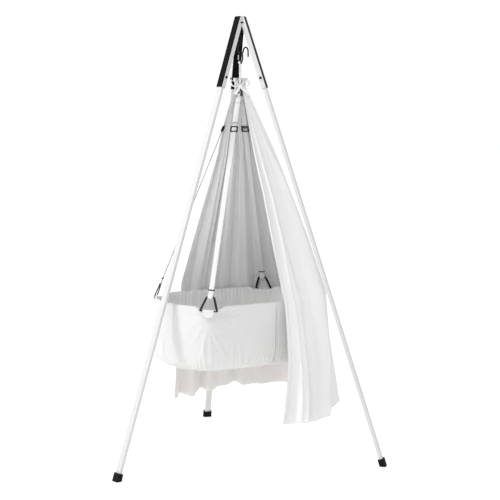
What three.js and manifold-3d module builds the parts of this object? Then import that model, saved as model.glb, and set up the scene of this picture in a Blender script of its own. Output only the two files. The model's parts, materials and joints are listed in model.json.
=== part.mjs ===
// Hanging baby cradle on a tripod: a soft cradle on a base board, hung by four webbing straps from a hook
// at the top of a three-legged stand, with a veil tied to the suspension strap.
// Millimetres, +Z up, X along the cradle, Y across it. The floor is z = 0.
import * as THREE from "three";
import { mergeVertices } from "three/addons/utils/BufferGeometryUtils.js";
import Module from "manifold-3d";

const wasm = await Module();
wasm.setup();

// ---------------------------------------------------------------- driving dimensions
const LEG_ANGLES = { left: 191.3, right: 311.3, back: 71.3 }; // degrees from +X, seen from above
const TOP_Z = 1807; // top of the brackets
const AXIS_Z = 1800, // a leg's centreline runs from here ...
  AXIS_R = 9.3; // ... at this distance from the tripod's axis
const SPREAD = 0.34275; // outward run of a leg per unit of drop
const LEG_W = 28, // across, along the tangent
  LEG_D = 14, // through, along the radius
  LEG_WALL = 1.6; // the leg is a tube
const LEG_TOP_Z = 1742;
const BRACKET_BOTTOM_Z = 1519,
  BRACKET_W = 34,
  BRACKET_WALL = 2,
  BRACKET_MOUTH_Z = 1744, // its inner side is open above this, round the hub
  BRACKET_IN = -9.6,
  BRACKET_OUT = 9.4;
const PIN_R = 14,
  PIN_Z = 1781; // the leg's fold axis
const FOOT_W = 37,
  FOOT_D = 24,
  FOOT_H = 29,
  FOOT_POCKET = 14;

const HOOK_WIRE = 3; // radius
const BOWL_Z = 1657; // wire centre at the bottom of the hook's bowl
const CARABINER_WIRE = 3,
  CARABINER_TOP = 1664,
  CARABINER_BOTTOM = 1622,
  CARABINER_HALF_W = 17;

const STRAP_APEX_Z = 1527, // the four straps' centrelines meet here on the axis
  STRAP_X = 253,
  STRAP_Y = 208.5,
  STRAP_Z = 702; // and reach the rings here
const STRAP_W = 20,
  STRAP_T = 2.4,
  STRAP_TOP_Z = 1462,
  ADJUSTER_Z = 1353,
  KEEPER_Z = 729;
const RING_WIRE = 2.5,
  RING_TOP_HALF = 12.5,
  RING_BASE_HALF = 38,
  RING_BASE_Z = 651,
  TAB_DROP = 28;

const RIM_Z = 667,
  BOTTOM_Z = 400,
  WALL = 4.5;
const SIDE_Y = 223.5, // the cradle's half width
  END_R = 302, // radius of the rounded ends
  END_X = 53; // and how far their centres lie from the middle
const BOARD_Z = 405.6,
  BOARD_T = 9,
  MATTRESS_Z = 415,
  MATTRESS_T = 42;

const VEIL_T = 0.9,
  VEIL_TOP_Z = 1552,
  VEIL_NECK_Z = 1528,
  VEIL_NECK_R = 16.5,
  VEIL_HEM_Z = 198;
const VEIL_FROM = -78,
  VEIL_TO = 120; // degrees: from the front edge round the right end to the back edge

// ---------------------------------------------------------------- colours
const colours = {
  white: [0xf3f3f1, 0.55, 0],
  black_steel: [0x18181a, 0.5, 0.4],
  black_wire: [0x111113, 0.4, 0.6],
  rubber: [0x151515, 0.85, 0],
  steel: [0x9a9a9c, 0.35, 0.9],
  black_plastic: [0x141415, 0.5, 0],
  webbing: [0xf1f0ec, 0.9, 0],
  cotton: [0xf4f3f0, 0.95, 0],
  lining: [0xeeede9, 0.95, 0],
  wood: [0xcfae7c, 0.65, 0],
  ticking: [0xf0efe9, 0.95, 0],
  voile: [0xf6f5f3, 0.95, 0],
};

const group = new THREE.Group();
const V = (x, y, z) => new THREE.Vector3(x, y, z);
const rad = (d) => (d * Math.PI) / 180;

function add(name, geometry, colour) {
  const [color, roughness, metalness] = colours[colour];
  const mesh = new THREE.Mesh(
    geometry,
    new THREE.MeshStandardMaterial({ color, roughness, metalness }),
  );
  mesh.name = name;
  group.add(mesh);
  return mesh;
}

// ---------------------------------------------------------------- geometry helpers
function indexed(points, faces) {
  let volume = 0;
  for (let i = 0; i < faces.length; i += 3) {
    const [a, b, c] = [points[faces[i]], points[faces[i + 1]], points[faces[i + 2]]];
    volume += a.dot(V(0, 0, 0).crossVectors(b, c)) / 6;
  }
  if (volume < 0)
    for (let i = 0; i < faces.length; i += 3)
      [faces[i + 1], faces[i + 2]] = [faces[i + 2], faces[i + 1]];
  const g = new THREE.BufferGeometry();
  g.setAttribute(
    "position",
    new THREE.Float32BufferAttribute(points.flatMap((p) => [p.x, p.y, p.z]), 3),
  );
  g.setIndex(faces);
  return g;
}

// A skin through sections of equal point count; its ends are capped, or joined when it closes on itself.
function loft(sections, closed = false) {
  const n = sections[0].length,
    m = sections.length,
    points = sections.flat().map((p) => p.clone()),
    faces = [];
  for (let i = 0; i < (closed ? m : m - 1); i++) {
    const a = i * n,
      b = ((i + 1) % m) * n;
    for (let j = 0; j < n; j++) {
      const k = (j + 1) % n;
      faces.push(a + j, a + k, b + k, a + j, b + k, b + j);
    }
  }
  if (!closed)
    for (const [s, flip] of [
      [0, true],
      [m - 1, false],
    ]) {
      const ring = sections[s],
        c = ring.reduce((x, p) => x.add(p), V(0, 0, 0)).divideScalar(n);
      points.push(c);
      const ci = points.length - 1;
      for (let j = 0; j < n; j++) {
        const k = (j + 1) % n;
        faces.push(...(flip ? [s * n + k, s * n + j, ci] : [s * n + j, s * n + k, ci]));
      }
    }
  return indexed(points, faces);
}

// A round wire along a curve in a plane with the given normal.
function wire(curve, radius, steps, sides, normal, closed = false, widen = () => 1) {
  const sections = [];
  for (let i = 0; i < (closed ? steps : steps + 1); i++) {
    const t = i / steps,
      p = curve.getPointAt(t),
      along = curve.getTangentAt(t).normalize(),
      across = V(0, 0, 0).crossVectors(normal, along).normalize();
    const ring = [];
    for (let j = 0; j < sides; j++) {
      const a = (j / sides) * Math.PI * 2;
      ring.push(
        p
          .clone()
          .addScaledVector(across, Math.cos(a) * radius * widen(t))
          .addScaledVector(normal, Math.sin(a) * radius),
      );
    }
    sections.push(ring);
  }
  return loft(sections, closed);
}

function solid(geometry) {
  let g = geometry.index ? geometry.toNonIndexed() : geometry.clone();
  g.deleteAttribute("normal");
  g.deleteAttribute("uv");
  g = mergeVertices(g, 1e-3);
  return new wasm.Manifold(
    new wasm.Mesh({
      numProp: 3,
      vertProperties: new Float32Array(g.attributes.position.array),
      triVerts: new Uint32Array(g.index.array),
    }),
  );
}
function geometryOf(s) {
  const m = s.getMesh(),
    n = m.numProp,
    v = new Float32Array((m.vertProperties.length / n) * 3);
  for (let i = 0; i < v.length / 3; i++)
    v.set(m.vertProperties.subarray(i * n, i * n + 3), i * 3);
  return new THREE.BufferGeometry()
    .setAttribute("position", new THREE.BufferAttribute(v, 3))
    .setIndex(new THREE.BufferAttribute(new Uint32Array(m.triVerts), 1));
}
const box = (x0, x1, y0, y1, z0, z1) =>
  new THREE.BoxGeometry(x1 - x0, y1 - y0, z1 - z0).translate(
    (x0 + x1) / 2,
    (y0 + y1) / 2,
    (z0 + z1) / 2,
  );
// A cylinder between two points.
function rod(a, b, r, sides = 12) {
  const d = b.clone().sub(a);
  return new THREE.CylinderGeometry(r, r, d.length(), sides)
    .applyQuaternion(
      new THREE.Quaternion().setFromUnitVectors(V(0, 1, 0), d.clone().normalize()),
    )
    .translate((a.x + b.x) / 2, (a.y + b.y) / 2, (a.z + b.z) / 2);
}
function roundedRect(w, h, r) {
  const s = new THREE.Shape(),
    x = w / 2,
    y = h / 2;
  s.moveTo(-x + r, -y);
  s.lineTo(x - r, -y);
  s.absarc(x - r, -y + r, r, -Math.PI / 2, 0);
  s.lineTo(x, y - r);
  s.absarc(x - r, y - r, r, 0, Math.PI / 2);
  s.lineTo(-x + r, y);
  s.absarc(-x + r, y - r, r, Math.PI / 2, Math.PI);
  s.lineTo(-x, -y + r);
  s.absarc(-x + r, -y + r, r, Math.PI, 1.5 * Math.PI);
  return s;
}
const extrude = (shape, depth, curveSegments = 3) =>
  new THREE.ExtrudeGeometry(shape, { depth, bevelEnabled: false, curveSegments, steps: 1 });

// ---------------------------------------------------------------- tripod
const TILT = Math.atan(SPREAD);
const R_FLOOR = AXIS_R + AXIS_Z * SPREAD;
function legFrame(angle) {
  const a = rad(angle),
    out = V(Math.cos(a), Math.sin(a), 0),
    tangent = V(-Math.sin(a), Math.cos(a), 0),
    axis = out.clone().multiplyScalar(-Math.sin(TILT)).setZ(Math.cos(TILT)),
    normal = out.clone().multiplyScalar(Math.cos(TILT)).setZ(Math.sin(TILT));
  const m = new THREE.Matrix4().makeBasis(tangent.clone().negate(), normal, axis);
  m.setPosition(out.clone().multiplyScalar(R_FLOOR));
  return { m, out, tangent };
}
const along = (z) => z / Math.cos(TILT); // distance along a leg's centreline at height z
const big = 400;
for (const [side, angle] of Object.entries(LEG_ANGLES)) {
  const { m, out, tangent } = legFrame(angle);
  // leg: a rounded rectangular bar
  const bar = extrude(roundedRect(LEG_W, LEG_D, 3), along(LEG_TOP_Z) - along(15), 3)
    .translate(0, 0, along(15))
    .applyMatrix4(m);
  const boltZ = along(1560);
  const boltHole = rod(V(-30, 0, boltZ), V(30, 0, boltZ), 2.9, 10).applyMatrix4(m);
  const bore = extrude(
    roundedRect(LEG_W - 2 * LEG_WALL, LEG_D - 2 * LEG_WALL, 1.6),
    along(LEG_TOP_Z) - along(15) + 40,
    2,
  )
    .translate(0, 0, along(15) - 20)
    .applyMatrix4(m);
  add(
    `leg_${side}`,
    geometryOf(solid(bar).subtract(solid(bore)).subtract(solid(boltHole))),
    "white",
  );

  // bracket: a box section, open on its inner side round the hub, mitred against its neighbours and cut level at the top
  const z0 = along(BRACKET_BOTTOM_Z),
    z1 = along(TOP_Z) + 20,
    w = BRACKET_W / 2;
  let channel = solid(box(-w, w, BRACKET_IN, BRACKET_OUT, z0, z1).applyMatrix4(m)).subtract(
    solid(
      box(
        -w + BRACKET_WALL,
        w - BRACKET_WALL,
        BRACKET_IN + 1.5,
        BRACKET_OUT - BRACKET_WALL,
        z0 - 5,
        z1 + 5,
      ).applyMatrix4(m),
    ),
  ).subtract(
    solid(
      box(
        -w + BRACKET_WALL,
        w - BRACKET_WALL,
        BRACKET_IN - 5,
        0,
        along(BRACKET_MOUTH_Z),
        z1 + 5,
      ).applyMatrix4(m),
    ),
  );
  channel = channel.subtract(solid(box(-big, big, -big, big, TOP_Z, TOP_Z + big)));
  for (const s of [1, -1]) {
    const cut = new THREE.BoxGeometry(big, big, 2 * big);
    cut.translate(big / 2 - 0.35, 0, TOP_Z);
    cut.rotateZ(rad(angle + s * 150));
    channel = channel.subtract(solid(cut));
  }
  const pinA = out.clone().multiplyScalar(PIN_R).setZ(PIN_Z);
  const pinHole = rod(
    pinA.clone().addScaledVector(tangent, -25),
    pinA.clone().addScaledVector(tangent, 25),
    2.9,
    12,
  );
  channel = channel.subtract(solid(pinHole)).subtract(solid(boltHole));
  const parts = channel.decompose().sort((a, b) => b.volume() - a.volume());
  add(`bracket_${side}`, geometryOf(parts[0]), "black_steel");

  // the bolt that holds the leg in its bracket
  let bolt = solid(rod(V(-19.5, 0, boltZ), V(19.5, 0, boltZ), 2.5, 10))
    .add(solid(rod(V(17.4, 0, boltZ), V(20.6, 0, boltZ), 5, 12)))
    .add(solid(rod(V(-17.4, 0, boltZ), V(-20.6, 0, boltZ), 5, 6)));
  add(`leg_bolt_${side}`, geometryOf(bolt).applyMatrix4(m), "black_steel");

  // the pin that the leg folds on
  const pin = solid(
    rod(
      pinA.clone().addScaledVector(tangent, -18.2),
      pinA.clone().addScaledVector(tangent, 18.2),
      2.5,
      12,
    ),
  )
    .add(
      solid(
        rod(
          pinA.clone().addScaledVector(tangent, -18.6),
          pinA.clone().addScaledVector(tangent, -17.3),
          3.3,
          12,
        ),
      ),
    )
    .add(
      solid(
        rod(
          pinA.clone().addScaledVector(tangent, 17.3),
          pinA.clone().addScaledVector(tangent, 18.6),
          3.3,
          12,
        ),
      ),
    );
  add(`fold_pin_${side}`, geometryOf(pin), "black_steel");

  // foot: a rubber cap with a pocket for the leg and a level sole
  const capShape = new THREE.Shape([
    new THREE.Vector2(-FOOT_W / 2 + 4, -FOOT_D / 2),
    new THREE.Vector2(FOOT_W / 2 - 4, -FOOT_D / 2),
    new THREE.Vector2(FOOT_W / 2, -FOOT_D / 2 + 4),
    new THREE.Vector2(FOOT_W / 2, FOOT_D / 2 - 4),
    new THREE.Vector2(FOOT_W / 2 - 4, FOOT_D / 2),
    new THREE.Vector2(-FOOT_W / 2 + 4, FOOT_D / 2),
    new THREE.Vector2(-FOOT_W / 2, FOOT_D / 2 - 4),
    new THREE.Vector2(-FOOT_W / 2, -FOOT_D / 2 + 4),
  ]);
  const cap = solid(
    extrude(capShape, along(FOOT_H) + 20).translate(0, 0, -20).applyMatrix4(m),
  )
    .subtract(solid(box(-2000, 2000, -2000, 2000, -200, 0)))
    .subtract(
      solid(
        extrude(roundedRect(LEG_W + 0.8, LEG_D + 0.8, 3.3), 60)
          .translate(0, 0, along(15) - 0.5)
          .applyMatrix4(m),
      ),
    );
  add(`foot_${side}`, geometryOf(cap), "rubber");
}

// hub: three lugs between the brackets' flanges, bored for the pins and the hook's shank
let hub = solid(new THREE.CylinderGeometry(9, 9, 40, 18).rotateX(Math.PI / 2).translate(0, 0, 1776));
for (const angle of Object.values(LEG_ANGLES)) {
  const lug = new THREE.BoxGeometry(21, 24, 25);
  lug.translate(10.5 - 4, 0, PIN_Z);
  lug.rotateZ(rad(angle));
  hub = hub.add(solid(lug));
}
for (const angle of Object.values(LEG_ANGLES)) {
  const { out, tangent } = legFrame(angle);
  const pinA = out.clone().multiplyScalar(PIN_R).setZ(PIN_Z);
  hub = hub.subtract(
    solid(
      rod(
        pinA.clone().addScaledVector(tangent, -25),
        pinA.clone().addScaledVector(tangent, 25),
        2.9,
        12,
      ),
    ),
  );
}
hub = hub.subtract(
  solid(new THREE.CylinderGeometry(3.5, 3.5, 80, 12).rotateX(Math.PI / 2).translate(0, 0, 1776)),
);
add("hub", geometryOf(hub), "black_steel");

// ---------------------------------------------------------------- hook, nut, carabiner
const hookPath = new THREE.CatmullRomCurve3(
  [
    [0, 1801.5],
    [0, 1770],
    [0, 1740],
    [0, 1718],
    [-2.5, 1702],
    [-9, 1687],
    [-12.5, 1673],
    [-9, 1661.5],
    [0, BOWL_Z],
    [9, 1660.5],
    [13.5, 1668.5],
    [16.5, 1678],
    [23, 1684],
    [30.5, 1682.5],
    [35.5, 1675],
    [37, 1662],
    [37, 1646],
  ].map(([x, z]) => V(x, 0, z)),
  false,
  "centripetal",
);
const hookShaft = wire(hookPath, HOOK_WIRE, 34, 6, V(0, -1, 0));
add("hook", hookShaft, "black_wire");
add(
  "hook_nut",
  geometryOf(
    solid(new THREE.CylinderGeometry(6.2, 6.2, 4, 6).rotateX(Math.PI / 2).translate(0, 0, 1798.4)).subtract(
      solid(new THREE.CylinderGeometry(3.35, 3.35, 20, 12).rotateX(Math.PI / 2).translate(0, 0, 1798)),
    ),
  ),
  "steel",
);

// carabiner: an oval of wire in the YZ plane with a gap on its +Y side, closed by the gate
const cz = (CARABINER_TOP + CARABINER_BOTTOM) / 2,
  ch = (CARABINER_TOP - CARABINER_BOTTOM) / 2;
const oval = [];
const gapLow = rad(-32),
  gapHigh = rad(36);
for (let i = 0; i <= 26; i++) {
  const a = gapHigh + ((2 * Math.PI - (gapHigh - gapLow)) * i) / 26;
  const c = Math.cos(a),
    s = Math.sin(a),
    e = 0.8; // a slightly squared oval
  oval.push(
    V(0, CARABINER_HALF_W * Math.sign(c) * Math.abs(c) ** e, cz + ch * Math.sign(s) * Math.abs(s) ** e),
  );
}
add(
  "carabiner",
  wire(new THREE.CatmullRomCurve3(oval, false, "centripetal"), CARABINER_WIRE, 26, 6, V(1, 0, 0)),
  "black_wire",
);
const gateLow = oval[oval.length - 1].clone(),
  gateHigh = oval[0].clone();
const gateDir = gateHigh.clone().sub(gateLow).normalize();
add(
  "carabiner_gate",
  rod(
    gateLow.clone().addScaledVector(gateDir, 2.6),
    gateHigh.clone().addScaledVector(gateDir, -2.6),
    2.4,
    10,
  ),
  "steel",
);

// ---------------------------------------------------------------- suspension strap and ring
// A flat strap hanging along Z with an eye at each end; its width runs along Y.
function eyeStrap(zTop, zBottom, eye, wall, width) {
  const t = wall / 2 + 0.4,
    R = eye + wall;
  const s = new THREE.Shape(),
    dz = Math.sqrt(R * R - t * t);
  const a0 = Math.asin(t / R);
  s.absarc(0, zTop, R, -Math.PI / 2 + a0, 1.5 * Math.PI - a0, false);
  s.lineTo(-t, zBottom + dz);
  s.absarc(0, zBottom, R, Math.PI / 2 + a0, 2.5 * Math.PI - a0, false);
  s.lineTo(t, zTop - dz);
  for (const z of [zTop, zBottom]) {
    const h = new THREE.Path();
    h.absarc(0, z, eye, 0, Math.PI * 2, true);
    s.holes.push(h);
  }
  const g = extrude(s, width, 8);
  // the shape's x stays x, its y becomes z and the extrusion runs along y
  g.rotateX(Math.PI / 2).translate(0, width / 2, 0);
  return g;
}
const SUSP_RING_TOP = 1512,
  SUSP_RING_BOTTOM = 1492;
add("suspension_strap", eyeStrap(CARABINER_BOTTOM, SUSP_RING_TOP, 4.6, 2, 14), "webbing");
const ringPts = [
  [-11, SUSP_RING_TOP],
  [0, SUSP_RING_TOP],
  [11, SUSP_RING_TOP],
  [13.5, (SUSP_RING_TOP + SUSP_RING_BOTTOM) / 2],
  [11, SUSP_RING_BOTTOM],
  [0, SUSP_RING_BOTTOM],
  [-11, SUSP_RING_BOTTOM],
  [-13.5, (SUSP_RING_TOP + SUSP_RING_BOTTOM) / 2],
].map(([y, z]) => V(0, y, z));
add(
  "strap_ring",
  wire(new THREE.CatmullRomCurve3(ringPts, true, "centripetal"), 2.6, 20, 6, V(1, 0, 0), true),
  "black_wire",
);

// ---------------------------------------------------------------- the four straps
const corners = { front_left: [-1, -1], front_right: [1, -1], back_left: [-1, 1], back_right: [1, 1] };
const strapR = Math.hypot(STRAP_X, STRAP_Y),
  SLOPE = strapR / (STRAP_APEX_Z - STRAP_Z); // run of a strap per unit of drop
const STRAP_TILT = Math.atan(SLOPE);
// A corner's frame: x across the strap, y outwards and up, z up along the strap, origin on its centreline at height z.
function strapFrame(sx, sy, z) {
  const a = Math.atan2(sy * STRAP_Y, sx * STRAP_X),
    out = V(Math.cos(a), Math.sin(a), 0),
    tangent = V(-Math.sin(a), Math.cos(a), 0);
  const axis = out.clone().multiplyScalar(-Math.sin(STRAP_TILT)).setZ(Math.cos(STRAP_TILT)),
    normal = out.clone().multiplyScalar(Math.cos(STRAP_TILT)).setZ(Math.sin(STRAP_TILT));
  const m = new THREE.Matrix4().makeBasis(tangent.clone().negate(), normal, axis);
  m.setPosition(out.clone().multiplyScalar((STRAP_APEX_Z - z) * SLOPE).setZ(z));
  return m;
}
const slant = (z, z0) => (z - z0) / Math.cos(STRAP_TILT);

let junction = solid(
  (() => {
    // eye round the ring's lower bar, with a tongue below it
    const s = new THREE.Shape(),
      R = 6.2,
      a0 = Math.asin(2.2 / R);
    s.absarc(0, SUSP_RING_BOTTOM, R, -Math.PI / 2 + a0, 1.5 * Math.PI - a0, false);
    s.lineTo(-2.2, 1468);
    s.lineTo(2.2, 1468);
    const h = new THREE.Path();
    h.absarc(0, SUSP_RING_BOTTOM, 3.9, 0, Math.PI * 2, true);
    s.holes.push(h);
    return extrude(s, 15, 8).rotateX(Math.PI / 2).translate(0, 7.5, 0);
  })(),
);
for (const [sx, sy] of Object.values(corners)) {
  // a stub of webbing from the strap's top, bent in to the sewn middle
  const a = Math.atan2(sy * STRAP_Y, sx * STRAP_X);
  const section = (r, z, w, dr, dz) =>
    [
      [r - dr, -w, z - dz],
      [r + dr, -w, z + dz],
      [r + dr, w, z + dz],
      [r - dr, w, z - dz],
    ].map(([x, y, zz]) => V(x, y, zz).applyAxisAngle(V(0, 0, 1), a));
  const rTop = (STRAP_APEX_Z - STRAP_TOP_Z - 0.4) * SLOPE,
    rMid = (STRAP_APEX_Z - 1476) * SLOPE;
  junction = junction.add(
    solid(
      loft([
        section(rTop, STRAP_TOP_Z + 0.4, STRAP_W / 2, 1.25, 0.3),
        section(rMid, 1476, STRAP_W / 2, 1.2, 0.6),
        section(1, 1482, 7, 0.5, 3),
      ]),
    ),
  );
}
junction = junction.add(solid(new THREE.CylinderGeometry(6, 8, 12, 12).rotateX(Math.PI / 2).translate(0, 0, 1478)));
add("strap_junction", geometryOf(junction), "webbing");

for (const [corner, [sx, sy]] of Object.entries(corners)) {
  // webbing: flat, with an eye at its lower end round the ring's top bar
  const m = strapFrame(sx, sy, STRAP_Z);
  const L = slant(STRAP_TOP_Z, STRAP_Z);
  const s = new THREE.Shape(),
    t = STRAP_T / 2,
    R = 5.1,
    a0 = Math.asin(t / R);
  s.moveTo(t, L);
  s.lineTo(-t, L);
  s.lineTo(-t, Math.sqrt(R * R - t * t));
  s.absarc(0, 0, R, Math.PI / 2 + a0, 2.5 * Math.PI - a0, false);
  const hole = new THREE.Path();
  hole.absarc(0, 0, 3.1, 0, Math.PI * 2, true);
  s.holes.push(hole);
  // the shape's x is the strap's outward side and its y runs up the strap
  const g = extrude(s, STRAP_W, 6)
    .applyMatrix4(new THREE.Matrix4().makeBasis(V(0, 1, 0), V(0, 0, 1), V(1, 0, 0)))
    .translate(-STRAP_W / 2, 0, 0)
    .applyMatrix4(m);
  add(`strap_${corner}`, g, "webbing");

  // adjuster: a buckle frame that the strap runs through, open over the strap at its lower end
  const ma = strapFrame(sx, sy, ADJUSTER_Z);
  const adjuster = solid(box(-15.5, 15.5, -3.6, 3.6, -12, 12))
    .subtract(solid(box(-11, 11, -2, 2, -20, 20)))
    .subtract(solid(box(-11, 11, -8, 8, -8, 7.4)));
  add(`adjuster_${corner}`, geometryOf(adjuster).applyMatrix4(ma), "black_plastic");

  // keeper: a slim bar round the doubled end of the strap
  const mk = strapFrame(sx, sy, KEEPER_Z);
  const keeper = solid(box(-13, 13, -3.2, 3.2, -2, 2)).subtract(
    solid(box(-10.8, 10.8, -1.8, 1.8, -20, 20)),
  );
  add(`keeper_${corner}`, geometryOf(keeper).applyMatrix4(mk), "black_plastic");

  // ring: a wire trapezium, short bar at the top and long bar at the bottom
  const base = slant(RING_BASE_Z, STRAP_Z);
  const ringPath = new THREE.CatmullRomCurve3(
    [
      [-RING_TOP_HALF + 2, 0],
      [0, 0],
      [RING_TOP_HALF - 2, 0],
      [RING_TOP_HALF + 3.5, -2.5],
      [RING_BASE_HALF - 5, base + 7],
      [RING_BASE_HALF - 1, base + 3],
      [RING_BASE_HALF - 5, base],
      [RING_BASE_HALF - 12, base],
      [0, base],
      [-RING_BASE_HALF + 12, base],
      [-RING_BASE_HALF + 5, base],
      [-RING_BASE_HALF + 1, base + 3],
      [-RING_BASE_HALF + 5, base + 7],
      [-RING_TOP_HALF - 3.5, -2.5],
    ].map(([x, z]) => V(x, 0, z)),
    true,
    "centripetal",
  );
  // its slanted sides are flattened to twice the width of the bars
  const widen = (t) => {
    const x = Math.abs(ringPath.getPointAt(t).x),
      up = ringPath.getPointAt(t).z - base;
    return x > RING_TOP_HALF + 3 && up > 5 ? 1.9 : 1;
  };
  add(
    `ring_${corner}`,
    wire(ringPath, RING_WIRE, 36, 6, V(0, 1, 0), true, widen).applyMatrix4(m),
    "black_wire",
  );

  // tab: a webbing loop round the ring's long bar, sewn down the outside of the cradle
  const a = Math.atan2(sy * STRAP_Y, sx * STRAP_X);
  const r0 = (STRAP_APEX_Z - RING_BASE_Z) * SLOPE;
  const tabShape = new THREE.Shape(),
    tt = 1.1,
    TR = 5.1,
    b0 = Math.asin(tt / TR);
  tabShape.moveTo(-tt, -TAB_DROP);
  tabShape.lineTo(tt, -TAB_DROP);
  tabShape.lineTo(tt, -Math.sqrt(TR * TR - tt * tt));
  tabShape.absarc(0, 0, TR, -Math.PI / 2 + b0, 1.5 * Math.PI - b0, false);
  const th = new THREE.Path();
  th.absarc(0, 0, 3.1, 0, Math.PI * 2, true);
  tabShape.holes.push(th);
  const tab = extrude(tabShape, 46, 6)
    .applyMatrix4(new THREE.Matrix4().makeBasis(V(1, 0, 0), V(0, 0, 1), V(0, -1, 0)))
    .translate(0, 23, 0)
    .rotateZ(a)
    .translate(Math.cos(a) * r0, Math.sin(a) * r0, RING_BASE_Z);
  add(`tab_${corner}`, tab, "webbing");
}

// ---------------------------------------------------------------- cradle
// The outline seen from above: gently rounded ends between two straight sides, its corners eased.
function outline(theta) {
  const c = Math.abs(Math.cos(theta)),
    s = Math.abs(Math.sin(theta)),
    end = END_X * c + Math.sqrt(END_R ** 2 - (END_X * s) ** 2),
    side = SIDE_Y / Math.max(s, 1e-6),
    p = 16;
  return (end ** -p + side ** -p) ** (-1 / p);
}
// The outer face's inset from the outline, from the rim down to the turned-under bottom.
const profile = [
  [RIM_Z, 0],
  [610, -1],
  [540, -2],
  [470, 0],
  [440, 5],
  [421, 14],
  [407, 28],
  [BOTTOM_Z + 0.4, 46],
  [BOTTOM_Z, 72],
];
// The rim dips where each strap's ring lies over it.
function rimDip(theta) {
  const d = (theta * 180) / Math.PI;
  return Math.max(
    ...[39.5, 140.5, 219.5, 320.5].map((a) => {
      const off = ((((d - a + 180) % 360) + 360) % 360) - 180;
      return 13 * Math.exp(-((off / 8.2) ** 8));
    }),
  );
}
// The outline drawn in by an inset, equal at the sides and at the ends.
const HALF_X = END_X + END_R;
function insetPoint(theta, inset, z) {
  const r = outline(theta);
  return V(
    r * Math.cos(theta) * (1 - inset / HALF_X),
    r * Math.sin(theta) * (1 - inset / SIDE_Y),
    z,
  );
}
function wallPoint(theta, k, inside) {
  const [z, inset] = profile[k];
  let drawn = inset,
    zz = k === 0 ? z - rimDip(theta) : z;
  if (inside) {
    // the inner face lies WALL inside the outer one, along the profile's own normal
    const a = profile[Math.max(k - 1, 0)],
      b = profile[Math.min(k + 1, profile.length - 1)],
      dz = a[0] - b[0],
      dr = b[1] - a[1],
      l = Math.hypot(dz, dr);
    drawn += (WALL * dz) / l;
    zz += k === 0 ? 0 : (WALL * dr) / l;
    if (k === profile.length - 1) {
      drawn = inset;
      zz = z + WALL;
    }
  }
  return insetPoint(theta, drawn, zz);
}
// Angles from one seam to the next, closer together round the corner between them.
function cornerSteps(from, to, n) {
  const corner = 90 * Math.round((from + to) / 180 - 0.5) + 45;
  const nearest = [40.7, 139.3, 220.7, 319.3, 400.7].find((a) => Math.abs(a - corner) < 20);
  const weight = (a) => 1 + 3.5 * Math.exp(-(((a - nearest) / 6) ** 2)),
    fine = 400,
    sum = [0];
  for (let i = 0; i < fine; i++)
    sum.push(sum[i] + weight(from + ((to - from) * (i + 0.5)) / fine));
  return Array.from({ length: n + 1 }, (_, j) => {
    const want = (sum[fine] * j) / n;
    let i = 0;
    while (i < fine - 1 && sum[i + 1] < want) i++;
    return from + ((to - from) * (i + (want - sum[i]) / (sum[i + 1] - sum[i]))) / fine;
  });
}
const STEPS = 12;
const SEAMS = { front: [192.9, 281.4], right: [281.4, 372.9], back: [12.9, 101.4], left: [101.4, 192.9] };
for (const [name, [from, to]] of Object.entries(SEAMS)) {
  const sections = [],
    steps = STEPS,
    gap = 0.06;
  for (const angle of cornerSteps(from, to, STEPS)) {
    const theta = rad(Math.min(Math.max(angle, from + gap), to - gap));
    const ring = [];
    for (let k = 0; k < profile.length; k++) ring.push(wallPoint(theta, k, false));
    for (let k = profile.length - 1; k >= 0; k--) ring.push(wallPoint(theta, k, true));
    sections.push(ring);
  }
  // the section is a bent strip, so its two ends are capped as strips, not as fans
  const n = sections[0].length,
    points = sections.flat(),
    faces = [];
  for (let i = 0; i < steps; i++)
    for (let j = 0; j < n; j++) {
      const k = (j + 1) % n,
        a = i * n,
        b = (i + 1) * n;
      faces.push(a + j, a + k, b + k, a + j, b + k, b + j);
    }
  for (const [s, flip] of [
    [0, true],
    [steps, false],
  ])
    for (let j = 0; j < profile.length - 1; j++) {
      const q = [j, j + 1, n - 2 - j, n - 1 - j].map((x) => s * n + x);
      const t = [q[0], q[1], q[2], q[0], q[2], q[3]];
      if (flip) for (let x = 0; x < 6; x += 3) [t[x + 1], t[x + 2]] = [t[x + 2], t[x + 1]];
      faces.push(...t);
    }
  add(`cover_${name}`, indexed(points, faces), "cotton");
}
const ROUND = Object.values(SEAMS)
  .flatMap(([from, to]) => cornerSteps(from, to, STEPS).slice(0, -1))
  .map((a) => ((a % 360) + 360) % 360)
  .sort((a, b) => a - b);
// A level ring of points inset from the outline.
const level = (z, inset) =>
  ROUND.map((a) => insetPoint(rad(a), inset, z));
add("base_board", loft([level(BOARD_Z, 50), level(BOARD_Z + BOARD_T, 50)]), "wood");
add(
  "mattress",
  loft([
    level(MATTRESS_Z, 36),
    level(MATTRESS_Z + 10, 21),
    level(MATTRESS_Z + MATTRESS_T - 9, 18),
    level(MATTRESS_Z + MATTRESS_T, 27),
  ]),
  "ticking",
);
// lining: a thin skirt inside the covers, from above the mattress to just under the rim
add(
  "lining",
  loft(
    [
      level(464, WALL + 3.4),
      level(464, WALL + 1.6),
      level(RIM_Z - 16, WALL + 1.6),
      level(RIM_Z - 16, WALL + 3.4),
    ],
    true,
  ),
  "lining",
);

// ---------------------------------------------------------------- veil
// A tall cone of cloth, open at the front left, drawn in round the suspension strap and falling over the cradle.
const VEIL_ANGLES = [
  VEIL_FROM, -66, -55, -46.8, -39.5, -32.2, -20, -7, 7, 20, 32.2, 39.5, 46.8, 57, 72, 88, 104, VEIL_TO,
];
// Its radius at the rim: clear of the cradle, and wider over the two rings it covers.
const veilRim = (theta) => {
  const near = Math.abs(Math.abs((theta * 180) / Math.PI) - 39.5);
  return near < 7.5 ? 356.5 / Math.cos(rad(near)) : outline(theta) + 9;
};
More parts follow.
